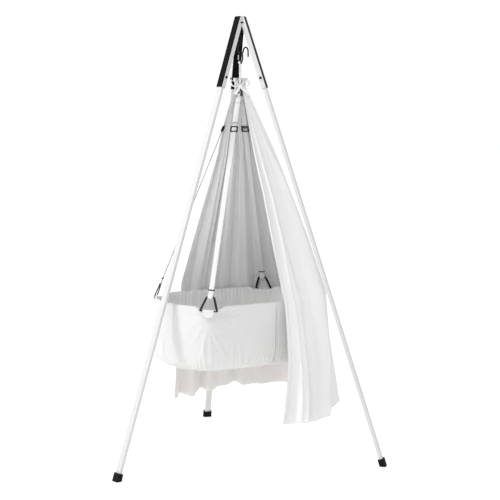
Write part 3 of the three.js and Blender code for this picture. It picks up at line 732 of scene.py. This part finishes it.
# ------------------------------------------------------------------ lining, gathered at its top edge
def lining():
    n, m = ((560, 44))
    th = np.linspace(0, 2 * np.pi, n, endpoint=False)
    flat = inset_point(th, 7.5, 0.0)
    arc = np.concatenate([[0], np.cumsum(np.linalg.norm(np.diff(flat, axis=0), axis=1))])
    total = arc[-1] + np.linalg.norm(flat[0] - flat[-1])
    t = np.linspace(0, 1, m)
    z = 664 - t * (664 - 466)
    TH = np.broadcast_to(th[:, None], (n, m))
    X = np.broadcast_to(arc[:, None], (n, m))
    Z = np.broadcast_to(z[None, :], (n, m)).copy()
    Z = Z - rim_dip(TH) * np.clip((Z - 600) / 64, 0, 1)
    drop = 664 - np.broadcast_to(z[None, :], (n, m))
    k1, k2 = round(total / 19), round(total / 53)
    ph = 2 * np.pi * X / total
    wob = 1.6 * np.sin(3 * ph) + 1.1 * np.sin(5 * ph + 1)
    ruffle = np.sin(k1 * ph + 2.4 * wob) * np.exp(-drop / 34) * 2.2
    folds = np.sin(k2 * ph + 1.6 * np.sin(7 * ph)) * (0.35 + np.exp(-drop / 90)) * 1.6
    casing = 1.3 * np.exp(-(((drop - 6) / 4.5) ** 4)) - 1.0 * np.exp(-(((drop - 13) / 1.8) ** 2))
    IN = 7.9 - casing + ruffle + folds + 1.2 * np.exp(-drop / 12)
    IN = np.clip(IN, 5.6, 15)
    top_wave = 1.7 * np.sin(k1 * ph + 2.4 * wob + 1.2) * np.exp(-drop / 16)
    G = inset_point(TH, IN, Z + top_wave)
    H = inset_point(TH, IN + 1.5, Z + top_wave - 0.0)
    V = np.concatenate([G.reshape(-1, 3), H.reshape(-1, 3)])
    F, off = [], n * m
    for i in range(n):
        q = (i + 1) % n
        for j in range(m - 1):
            a, b = i * m + j, q * m + j
            F.append((a, b, b + 1, a + 1))
            F.append((off + a, off + a + 1, off + b + 1, off + b))
        a, b = i * m, q * m
        F.append((a, off + a, off + b, b))
        a, b = i * m + m - 1, q * m + m - 1
        F.append((a, b, off + b, off + a))
    V = outward(V, F)
    uv = np.stack([X * MM, drop * MM], -1).reshape(-1, 2)
    o = mesh_object("gathered_lining", V, F, "lining_cloth", "cradle_body", np.concatenate([uv, uv]), replaces="lining")


lining()


# ------------------------------------------------------------------ mattress: a flat pad with piped edges, quilted in diamonds
def mattress():
    n = 168
    th = np.linspace(0, 2 * np.pi, n, endpoint=False)
    rows = [(415.0, 60), (415.0, 38), (416.5, 33), (421, 26.5), (425, 22.5), (428, 21.0), (434, 20.0), (442, 20.0), (447, 20.5)]
    rows += [(449.6, 20.2), (451.6, 20.6), (452.4, 22.2), (451.4, 24.0)]
    rings = [inset_point(th, i, z) for z, i in rows]
    uvs = [np.stack([np.cos(th) * 0.35, np.sin(th) * 0.22], -1) + (z - 415) * MM for z, i in rows]
    steps = 34
    for k in range(1, steps + 1):
        s = (k / steps) ** 0.9
        x, y, _ = inset_point(th, 24.0, 0.0).T
        px, py = x * (1 - s * 0.998), y * (1 - s * 0.998)
        edge = np.minimum(1.0, (s * 6.0)) ** 0.6
        d = 52.0
        a = np.abs(np.sin(np.pi * (px + py) / d / 1.0)) * np.abs(np.sin(np.pi * (px - py) / d / 1.0))
        quilt = 3.0 * np.clip(a, 0, 1) ** 0.45
        z = 450.3 + 1.9 * edge + (quilt - 1.0) * edge * 1.0 + 0.4 * np.sin(px / 40) * np.sin(py / 31)
        rings.append(np.stack([px, py, z], -1))
        uvs.append(np.stack([px, py], -1) * MM)
    rings = np.array(rings)
    V, F, U = skin(rings, uv=np.array(uvs))
    o = mesh_object("quilted_mattress", V, F, "mattress_cloth", "cradle_body", U, replaces="mattress")


mattress()

# ------------------------------------------------------------------ straps and the fittings on them
SX, SY, SZ, APEX = 253.0, 208.5, 702.0, 1527.0
SLOPE = math.hypot(SX, SY) / (APEX - SZ)
TILT = math.atan(SLOPE)
CORNERS = {"front_left": (-1, -1), "front_right": (1, -1), "back_left": (-1, 1), "back_right": (1, 1)}
STRAP_W = 20.0


def strap_frame(sx, sy, z):
    a = math.atan2(sy * SY, sx * SX)
    out, tan = np.array([math.cos(a), math.sin(a), 0]), np.array([-math.sin(a), math.cos(a), 0])
    up_ = -math.sin(TILT) * out + np.array([0, 0, math.cos(TILT)])
    nor = math.cos(TILT) * out + np.array([0, 0, math.sin(TILT)])
    m = np.eye(4)
    m[:3, 0], m[:3, 1], m[:3, 2] = -tan, nor, up_
    m[:3, 3] = out * (APEX - z) * SLOPE + np.array([0, 0, z])
    return m, out, tan


def put(m, P):
    P = np.asarray(P, float)
    return P @ m[:3, :3].T + m[:3, 3]


def slant(z, z0):
    return (z - z0) / math.cos(TILT)


for corner, (sx, sy) in CORNERS.items():
    m, out, tan = strap_frame(sx, sy, SZ)
    W, N, U_ = m[:3, 0], m[:3, 1], m[:3, 2]
    L = slant(1462.0, SZ)
    LA = slant(1353.0, SZ)
    # one length of webbing: down the outside, round the ring's bar and back up inside to the adjuster
    pts = [(0.62, L), (0.62, L * 0.8)]
    pts += [(0.62, LA + 30), (1.0, LA + 12), (0.75, LA), (0.75, LA - 20), (0.65, LA * 0.6), (0.65, LA * 0.2), (0.65, 22), (1.6, 12), (3.6, 6)]
    for k in range(1, 10):
        a = rad(32 - 244 * k / 9.0)
        pts.append((4.35 * math.cos(a), 4.35 * math.sin(a)))
    pts += [(-3.6, 6), (-1.6, 12), (-0.65, 22), (-0.65, LA * 0.2), (-0.65, LA * 0.6), (-0.75, LA - 24), (-0.75, LA - 8)]
    dense = []
    for (a0, b0), (a1, b1) in zip(pts[:-1], pts[1:]):
        k = max(1, int(math.hypot(a1 - a0, b1 - b0) / 14))
        for t in np.linspace(0, 1, k, endpoint=False):
            dense.append((a0 + (a1 - a0) * t, b0 + (b1 - b0) * t))
    dense.append(pts[-1])
    P = put(m, [(0, x, z) for x, z in dense])
    parts = [ribbon(P, W, STRAP_W, 1.15)]
    v, f, u = merge(parts)
    o = mesh_object("webbing_strap_" + corner, v, f, "webbing", "cradle_body", u, replaces="strap_" + corner)
    # bartack of thread over the fold, on the outer face
    tack = []
    for k in range(9):
        x = -8.4 + 16.8 * k / 8
        for zz in (26.0, 31.0):
            q = put(m, [(x - 0.9, 1.45, zz - 1.8), (x + 0.9, 1.45, zz + 1.8)])
            tack.append(tube(q, 0.34, N, 5, cap_round=False))
    for x in (-8.6, 8.6):
        for k in range(34):
            z0 = 40 + k * 5.0
            q = put(m, [(x, 1.28, z0), (x, 1.28, z0 + 3.4)])
            tack.append(tube(q, 0.26, N, 5, cap_round=False))
    v, f, u = merge(tack)
    mesh_object("strap_stitching_" + corner, v, f, "thread", "cradle_body", u, slot="webbing")
    # adjuster: a ladder buckle of three bars between two cheeks
    ma, _, _ = strap_frame(sx, sy, 1353.0)
    bars = [
        box_part((-15.5, -3.6, -12), (-11.4, 3.6, 12), ma, 1.2),
        box_part((11.4, -3.6, -12), (15.5, 3.6, 12), ma, 1.2),
        box_part((-12.5, -3.6, 7.6), (12.5, -2.1, 12), ma, 0.6),
        box_part((-12.5, -3.6, -12), (12.5, -2.1, -8.4), ma, 0.6),
        box_part((-12.5, 2.0, 7.6), (12.5, 3.8, 12.2), ma, 0.7),
        box_part((-12.5, 2.0, -12.4), (12.5, 3.9, -8.4), ma, 0.7),
    ]
    for k in range(6):
        bars.append(box_part((-10.2 + k * 3.5, 3.2, 8.2), (-8.6 + k * 3.5, 4.2, 11.6), ma, 0.3))
    v, f, u = merge(bars)
    mesh_object("ladder_buckle_" + corner, v, f, "black_plastic", "adjuster_body_" + corner, u, smooth=False, replaces="adjuster_" + corner)
    # keeper
    mk, _, _ = strap_frame(sx, sy, 729.0)
    bars = [
        box_part((-13, 1.75, -2), (13, 3.3, 2), mk, 0.5),
        box_part((-13, -3.3, -2), (13, -1.75, 2), mk, 0.5),
        box_part((-13, -2.4, -2), (-10.7, 2.4, 2), mk, 0.5),
        box_part((10.7, -2.4, -2), (13, 2.4, 2), mk, 0.5),
    ]
    v, f, u = merge(bars)
    mesh_object("keeper_bar_" + corner, v, f, "black_plastic", "cradle_body", u, smooth=False, replaces="keeper_" + corner)
    # ring
    base = slant(651.0, SZ)
    T2, B2 = 12.5, 38.0
    ring = [(-T2 + 2, 0), (0, 0), (T2 - 2, 0), (T2 + 3.5, -2.5), (B2 - 5, base + 7), (B2 - 1, base + 3), (B2 - 5, base), (B2 - 12, base), (0, base)]
    ring += [(-B2 + 12, base), (-B2 + 5, base), (-B2 + 1, base + 3), (-B2 + 5, base + 7), (-T2 - 3.5, -2.5)]
    P = smooth_path(put(m, [(x, 0, z) for x, z in ring]), 7, True)
    loc_ = (P - m[:3, 3]) @ m[:3, :3]
    side_ = np.clip((np.abs(loc_[:, 0]) - 12.5) / 6, 0, 1) * np.clip((loc_[:, 2] - base - 2) / 6, 0, 1)
    v, f, u = tube(P, 2.5, N, 14, True, widen=1 + 0.95 * side_)
    mesh_object("wire_ring_" + corner, v, f, "black_wire", "cradle_body", u, replaces="ring_" + corner)
    # tab: a rounded cloth tongue, folded over the ring's long bar and sewn down
    a = math.atan2(sy * SY, sx * SX)
    r0 = (APEX - 651.0) * SLOPE
    mt = np.eye(4)
    mt[:3, 0], mt[:3, 1], mt[:3, 2] = -tan, out, (0, 0, 1)
    mt[:3, 3] = out * r0 + np.array([0, 0, 651.0])
    path = [(0.9, -27), (0.9, -22), (0.9, -15), (1.4, -9), (3.2, -5)]
    for k in range(1, 10):
        b = rad(-38 + 256 * k / 9.0)
        path.append((4.3 * math.cos(b), 4.3 * math.sin(b)))
    path += [(-3.2, -5), (-1.6, -9), (-1.2, -15), (-1.2, -22), (-1.2, -26.5)]
    P = smooth_path(put(mt, [(0, x, z) for x, z in path]), 4)
    z_of = (P - mt[:3, 3])[:, 2]
    taper = np.where(z_of < -8, np.sqrt(np.clip(1 - ((-8 - z_of) / 20.5) ** 2, 0.04, 1)), 1.0)
    v, f, u = ribbon(P, mt[:3, 0], 46, 1.9, taper=taper)
    o = mesh_object("cloth_tab_" + corner, v, f, "cotton", "cradle_body", u, replaces="tab_" + corner)
    tack = []
    arcp = []
    for k in range(41):
        b = math.pi * (k / 40)
        arcp.append((20 * math.cos(b), -8.5 - 14.5 * math.sin(b)))
    for k in range(0, 40, 2):
        (x0, z0), (x1, z1) = arcp[k], arcp[k + 1]
        q = put(mt, [(x0, 2.0, z0), (x1, 2.0, z1)])
        tack.append(tube(q, 0.4, out, 5, cap_round=False))
    for k in range(13):
        q = put(mt, [(-19 + k * 3.1, 2.4, -9.2), (-17.2 + k * 3.1, 2.4, -9.2)])
        tack.append(tube(q, 0.4, out, 5, cap_round=False))
    v, f, u = merge(tack)
    mesh_object("tab_stitching_" + corner, v, f, "thread", "cradle_body", u, slot="webbing")

# junction: the four straps bend in to a sewn bundle with an eye over the ring
parts = []
for corner, (sx, sy) in CORNERS.items():
    a = math.atan2(sy * SY, sx * SX)
    out = np.array([math.cos(a), math.sin(a), 0])
    tan = np.array([-math.sin(a), math.cos(a), 0])
    pts = [((APEX - z) * SLOPE, z) for z in (1462.2, 1468, 1474)] + [(15.5, 1480.5), (9, 1484), (4.5, 1487.5), (3.2, 1491)]
    P = smooth_path([out * r + np.array([0, 0, z]) for r, z in pts], 4)
    z_of = P[:, 2]
    taper = np.interp(z_of, [1462, 1476, 1484, 1491], [1.0, 1.0, 0.72, 0.62])
    parts.append(ribbon(P, tan, STRAP_W, 2.1, taper=taper))
v, f, u = merge(parts)
wrap = []
for k in range(7):
    zz = 1477.5 + k * 1.7
    ring_pts = [(8.6 * math.cos(b) * (1 - k * 0.05), 8.6 * math.sin(b) * (1 - k * 0.05), zz + 0.8 * math.sin(2 * b)) for b in np.linspace(0, 2 * np.pi, 24, endpoint=False)]
    wrap.append(tube(ring_pts, 0.95, (0, 0, 1), 6, True))
eye = [(5.0 * math.cos(b), 0, 1492 + 5.0 * math.sin(b)) for b in np.linspace(-np.pi / 2 + 0.45, 1.5 * np.pi - 0.45, 26)]
eye = [(1.6, 0, 1479)] + [(1.9, 0, 1485)] + eye + [(-1.9, 0, 1485)] + [(-1.6, 0, 1479)]
parts2 = merge([(v, f, u), ribbon(smooth_path(eye, 2), (0, 1, 0), 15, 1.4)] + wrap)
mesh_object("sewn_strap_junction", *parts2[:2], "webbing", "cradle_body", parts2[2], replaces="strap_junction")

# suspension strap: doubled webbing with an eye at each end
def eye_loop(z_top, z_bottom, r, w):
    P = []
    for b in np.linspace(-np.pi / 2 + 0.25, 1.5 * np.pi - 0.25, 26):
        P.append((r * math.cos(b), 0, z_top + r * math.sin(b)))
    P += [(-1.0, 0, z_top - r - 6), (-0.75, 0, (z_top + z_bottom) / 2), (-1.0, 0, z_bottom + r + 6)]
    for b in np.linspace(np.pi / 2 + 0.25, 2.5 * np.pi - 0.25, 26):
        P.append((r * math.cos(b), 0, z_bottom + r * math.sin(b)))
    P += [(1.0, 0, z_bottom + r + 6), (0.75, 0, (z_top + z_bottom) / 2), (1.0, 0, z_top - r - 6)]
    return ribbon(smooth_path(P, 3, True), (0, 1, 0), w, 1.2, True)


v, f, u = eye_loop(1622.0, 1512.0, 5.5, 14)
tack = []
for zz in (1598, 1590, 1540, 1532):
    for k in range(6):
        q = [(1.9, -5 + k * 2, zz - 1.6), (1.9, -4 + k * 2, zz + 1.6)]
        tack.append(tube(q, 0.33, (1, 0, 0), 5, cap_round=False))
        q = [(-1.9, -5 + k * 2, zz - 1.6), (-1.9, -4 + k * 2, zz + 1.6)]
        tack.append(tube(q, 0.33, (1, 0, 0), 5, cap_round=False))
mesh_object("suspension_webbing", v, f, "webbing", "cradle_body", u, replaces="suspension_strap")
v, f, u = merge(tack)
mesh_object("suspension_stitching", v, f, "thread", "cradle_body", u, slot="webbing")

ring = [(-11, 1512), (0, 1512), (11, 1512), (13.5, 1502), (11, 1492), (0, 1492), (-11, 1492), (-13.5, 1502)]
v, f, u = tube(smooth_path([(0, y, z) for y, z in ring], 9, True), 2.6, (1, 0, 0), 14, True)
mesh_object("strap_wire_ring", v, f, "black_wire", "cradle_body", u, replaces="strap_ring")

# ------------------------------------------------------------------ hook, carabiner, gate
hook = [
    (0, 1801.5), (0, 1770), (0, 1740), (0, 1718), (-2.5, 1702), (-9, 1687), (-12.5, 1673), (-9, 1661.5), (0, 1657), (9, 1660.5),
    (13.5, 1668.5), (16.5, 1678), (23, 1684), (30.5, 1682.5), (35.5, 1675), (37, 1662), (37, 1646),
]
v, f, u = tube(smooth_path([(x, 0, z) for x, z in hook], 7), 3.0, (0, -1, 0), 16)
mesh_object("hanging_hook", v, f, "black_wire", "hook_body", u, replaces="hook")

cz, ch, chw, e = 1643.0, 21.0, 17.0, 0.8
lo_a, hi_a = rad(-32), rad(36)
oval = []
for i in range(27):
    a = hi_a + (2 * math.pi - (hi_a - lo_a)) * i / 26
    c, s = math.cos(a), math.sin(a)
    oval.append((0, chw * math.copysign(abs(c) ** e, c), cz + ch * math.copysign(abs(s) ** e, s)))
v, f, u = tube(smooth_path(oval, 5), 3.0, (1, 0, 0), 14)
mesh_object("carabiner_body_wire", v, f, "black_wire", "carabiner_body", u, replaces="carabiner")
g0, g1 = np.array(oval[-1]), np.array(oval[0])
gd = unit(g1 - g0)
v, f, u = tube(np.linspace(g0 + gd * 2.8, g1 - gd * 2.8, 6), 2.35, (1, 0, 0), 14)
mesh_object("carabiner_gate_bar", v, f, "plain_steel", "gate_body", u, replaces="carabiner_gate")


# ------------------------------------------------------------------ veil
NECK_Z, NECK_R, VTOP = 1528.0, 17.0, 1560.0
HEM_R = np.array(
    [[-87, 306], [-74, 352], [-66, 368], [-55, 380], [-38, 408], [-20, 416], [0, 408], [30, 396], [50, 352], [72, 300], [90, 292], [121, 300]],
    float,
)
HEM_Z = np.array([[-87, 186], [-60, 184], [-38, 199], [0, 214], [40, 222], [80, 216], [105, 196], [121, 192]], float)
LEGS = (-48.7, 71.3)


def leg_inner(z):
    return 9.3 + 0.34275 * (1800 - z) - 7.6


def veil_rim(deg):
    near = np.abs(np.abs(deg) - 39.5)
    w = np.clip((near - 6.5) / 5.0, 0, 1)
    w = w * w * (3 - 2 * w)
    return (1 - w) * 357.5 / np.cos(np.radians(np.minimum(near, 12))) + w * (outline(np.radians(deg)) + 12)


def veil():
    n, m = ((760, 150))
    a = np.linspace(0, 1, n)
    tz = np.linspace(0, 1, m)
    zc = np.where(tz < 0.06, VTOP - (VTOP - NECK_Z) * tz / 0.06, 0)
    A, T = np.meshgrid(a, tz, indexing="ij")
    s_low = np.clip((T - 0.06) / 0.94, 0, 1)
    nominal = NECK_Z - (NECK_Z - 200) * s_low  # a first guess of the height, for the free edges
    front = np.interp(nominal, [186, 420, 680, 1100, 1528], [-86.5, -79, -74.5, -77, -90])
    back = np.interp(nominal, [190, 1250, 1528], [120.5, 120.5, 140])
    DEG = front + (back - front) * A
    hem_z = np.interp(DEG, HEM_Z[:, 0], HEM_Z[:, 1])
    N1 = 6.5
    wob = 0.75 * np.sin(2 * np.pi * A * 2.3 + 0.7) + 0.5 * np.sin(2 * np.pi * A * 4.1 + 2.0)
    drift = 0.35 * np.sin(3.1 * s_low + 9 * A)
    B = A + 0.26 * (1 - np.exp(-A / 0.11))  # the folds crowd together at the free front edge
    main = np.sin(2 * np.pi * (N1 * B) + wob * 2.2 + drift)
    second = np.sin(2 * np.pi * (N1 * 2.1 * B) + 3.1 * wob + 1.3 - drift)
    fine = np.sin(2 * np.pi * (N1 * 5.0 * A) + 4 * wob)
    sharp = np.sign(main) * np.abs(main) ** 0.8
    Z = np.where(T < 0.06, VTOP - (VTOP - NECK_Z) * T / 0.06, NECK_Z - (NECK_Z - hem_z) * s_low)
    hem_wave = 5.5 * main + 2.5 * second
    Z = Z + hem_wave * np.clip((s_low - 0.85) / 0.15, 0, 1) ** 2
    rim = veil_rim(DEG)
    hem = np.interp(DEG, HEM_R[:, 0], HEM_R[:, 1])
    s = np.clip((NECK_Z - Z) / (NECK_Z - 700), 0, 1)
    left_bulge = np.interp(DEG, [-90, -20, 60, 95, 120], [10, 8, 14, 8, -2])
    cone = NECK_R + (rim - NECK_R) * s + left_bulge * 4 * s * (1 - s) * 0.9
    low = np.clip((700 - Z) / 500, 0, 1)
    R = np.where(Z > 700, cone, rim + (hem - rim) * low ** 0.85)
    R = np.where(Z > NECK_Z, NECK_R + 0.25 * (Z - NECK_Z), R)
    # folds deepen away from the neck, and lie shallow where the cloth rests on the cradle
    amp = np.interp(Z, [186, 300, 450, 640, 720, 900, 1200, 1450, 1528, 1560], [24, 19, 12, 7, 8, 15, 13, 5, 1.6, 4.0])
    D = amp * (0.8 * sharp + 0.42 * second) + np.interp(Z, [186, 500, 900, 1300, 1450, 1560], [0.5, 0.4, 0.8, 1.3, 1.0, 2.0]) * fine
    edge = np.clip(np.minimum(A, 1 - A) / 0.012, 0, 1)
    R = R + D
    # clear of the cradle and its rings inside, and of the legs outside
    inner_keep = np.where(Z < 728, veil_rim(DEG) - 1.0 - np.clip((Z - 700) / 28, 0, 1) * 40, 0)
    inner_keep = np.where(Z < 396, 0, inner_keep)
    R = np.maximum(R, inner_keep)
    strap = np.where((Z >= 700) & (Z < 1500), (APEX - Z) * SLOPE + 9, 0)
    near_strap = np.exp(-((np.minimum(np.abs(DEG - 39.5), np.abs(DEG + 39.5)) * np.pi / 180 * np.maximum(R, 20) / 26) ** 4))
    R = np.maximum(R, strap * near_strap)
    for leg in LEGS:
        away = np.abs(DEG - leg) * np.pi / 180 * R
        limit = leg_inner(Z) - 7 + np.clip((away - 24) / 20, 0, None) * 40
        R = np.minimum(R, np.maximum(limit, 18))
    th = np.radians(DEG)
    swirl = amp * 0.35 * np.cos(2 * np.pi * (N1 * B) + wob * 2.2 + drift) * edge
    P = np.stack([R * np.cos(th) - swirl * np.sin(th), R * np.sin(th) + swirl * np.cos(th), Z], -1)
    # keep above the hem a stitched band
    NORM = grid_normals(P)
    if (NORM[..., :2] * P[..., :2]).sum(-1).mean() < 0:
        NORM = -NORM
    drop = Z - (hem_z + 0)
    thick = 0.55 + 0.55 * np.clip(1 - (drop - 22) / 2, 0, 1) + 0.5 * np.clip(1 - np.minimum(A, 1 - A) * 1000 / 14, 0, 1)
    groove = 0.9 * np.exp(-(((drop - 23) / 2.4) ** 2))
    P = P - NORM * groove[..., None]
    outer, inner = P + NORM * (thick / 2)[..., None], P - NORM * (thick / 2)[..., None]
    uv = np.stack([A * 1.9, (NECK_Z - Z) * MM], -1)
    v, f, u = shell(outer, inner, uv)
    o = mesh_object("gathered_veil", v, f, "veil_cloth", "cradle_body", u, replaces="veil")
    # the area the cloth was cut to, from the drape itself
    d1, d2 = np.diff(P, axis=0)[:, :-1], np.diff(P, axis=1)[:-1]
    area = float(np.linalg.norm(np.cross(d1, d2), axis=-1).sum()) * 1e-6
    return o, area


veil_obj, veil_area = veil()


# the tie: a ribbon wound twice round the neck, and a bow with two loops and two tails
def neck_wrap(z, r, turns=1):
    b = np.linspace(0, 2 * np.pi * turns, 40 * turns, endpoint=False)
    return np.stack([r * np.cos(b), r * np.sin(b), z + 0.9 * np.sin(2 * b)], -1)


cam_dir = np.array([-math.sin(PHI), -math.cos(PHI), 0.0])  # from the axis to the camera
cam_right = np.array([math.cos(PHI), -math.sin(PHI), 0.0])


def bow_pts(points):
    return smooth_path([cam_right * x + cam_dir * (y + 26) + np.array([0, 0, z]) for x, y, z in points], 7)


parts = []
for z, r in ((1524.5, 19.5), (1530.5, 20.0)):
    parts.append(ribbon(neck_wrap(z, r + 2.4), (0, 0, 1), 7.5, 1.5, True))
v, f, u = merge(parts)
for loop, tilt in (
    ([(0, 2, 1527), (-12, 8, 1538), (-27, 9, 1547), (-36, 4, 1543), (-33, 0, 1530), (-18, 1, 1524), (-1, 3, 1525)], 0.25),
    ([(0, 2, 1527), (12, 8, 1539), (27, 9, 1547), (37, 3, 1544), (34, -1, 1532), (18, 1, 1524), (1, 3, 1525)], -0.25),
):
    P = bow_pts(loop)
    W = unit(cam_dir * 0.85 + cam_right * tilt + np.array([0, 0, 0.15]))
    w = 15 * (0.45 + 0.55 * np.sin(np.linspace(0, np.pi, len(P))))
    parts.append(ribbon(P, W, 17, 1.1, taper=0.4 + 0.6 * np.sin(np.linspace(0.15, np.pi - 0.15, len(P)))))
for tail, tilt in (
    ([(-1, 4, 1524), (-7, 8, 1513), (-14, 7, 1503), (-18, 5, 1493)], 0.5),
    ([(1, 4, 1524), (9, 9, 1516), (20, 8, 1509), (30, 5, 1502), (36, 4, 1494)], -0.5),
):
    P = bow_pts(tail)
    parts.append(ribbon(P, unit(cam_right * 0.9 + np.array([0, 0, 0.3 * tilt])), 15, 1.0, taper=np.linspace(0.5, 1.0, len(P))))
knot = []
for k in range(9):
    s = k / 8
    zz = 1527 + (s - 0.5) * 17
    rr = 8.0 * math.sqrt(max(0.05, 1 - (2 * s - 1) ** 2)) + 0.6
    knot.append([cam_right * rr * math.cos(b) + cam_dir * (28 + rr * 0.7 * math.sin(b)) + np.array([0, 0, zz]) for b in np.linspace(0, 2 * np.pi, 18, endpoint=False)])
parts.append(skin(np.array(knot)))
v, f, u = merge(parts)
tie = mesh_object("veil_bow", v, f, "veil_cloth", "cradle_body", u, replaces="veil_tie")

# ------------------------------------------------------------------ finishes on the CAD pieces that are shown as they are
LEG_AZ = {"left": 191.3, "right": 311.3, "back": 71.3}
by_slot = {s["node"]: s["material_slot"] for s in frame["record"]["subparts"]}
for node, slot in by_slot.items():
    o = bpy.data.objects.get(node)
    if o is None or o.hide_render:
        continue
    o.data.materials.clear()
    o.data.materials.append(M[slot])
    if "bracket" in node and node.split("_")[-1] in LEG_AZ:
        # black on the outer and inner faces, pale paint on the two sides
        az = rad(LEG_AZ[node.split("_")[-1]])
        side = Vector((-math.sin(az), math.cos(az), 0))
        turn = o.matrix_world.to_3x3()
        o.data.materials.append(M["pale_paint"])
        for poly in o.data.polygons:
            n_ = turn @ poly.normal
            if abs(n_.normalized().dot(side)) > 0.9:
                poly.material_index = 1

# ------------------------------------------------------------------ floor
bpy.ops.mesh.primitive_plane_add(size=60, location=(0, 0, -0.0005))
floor = bpy.context.object
floor.name = "studio_floor"
floor.data.materials.append(BACKDROP)
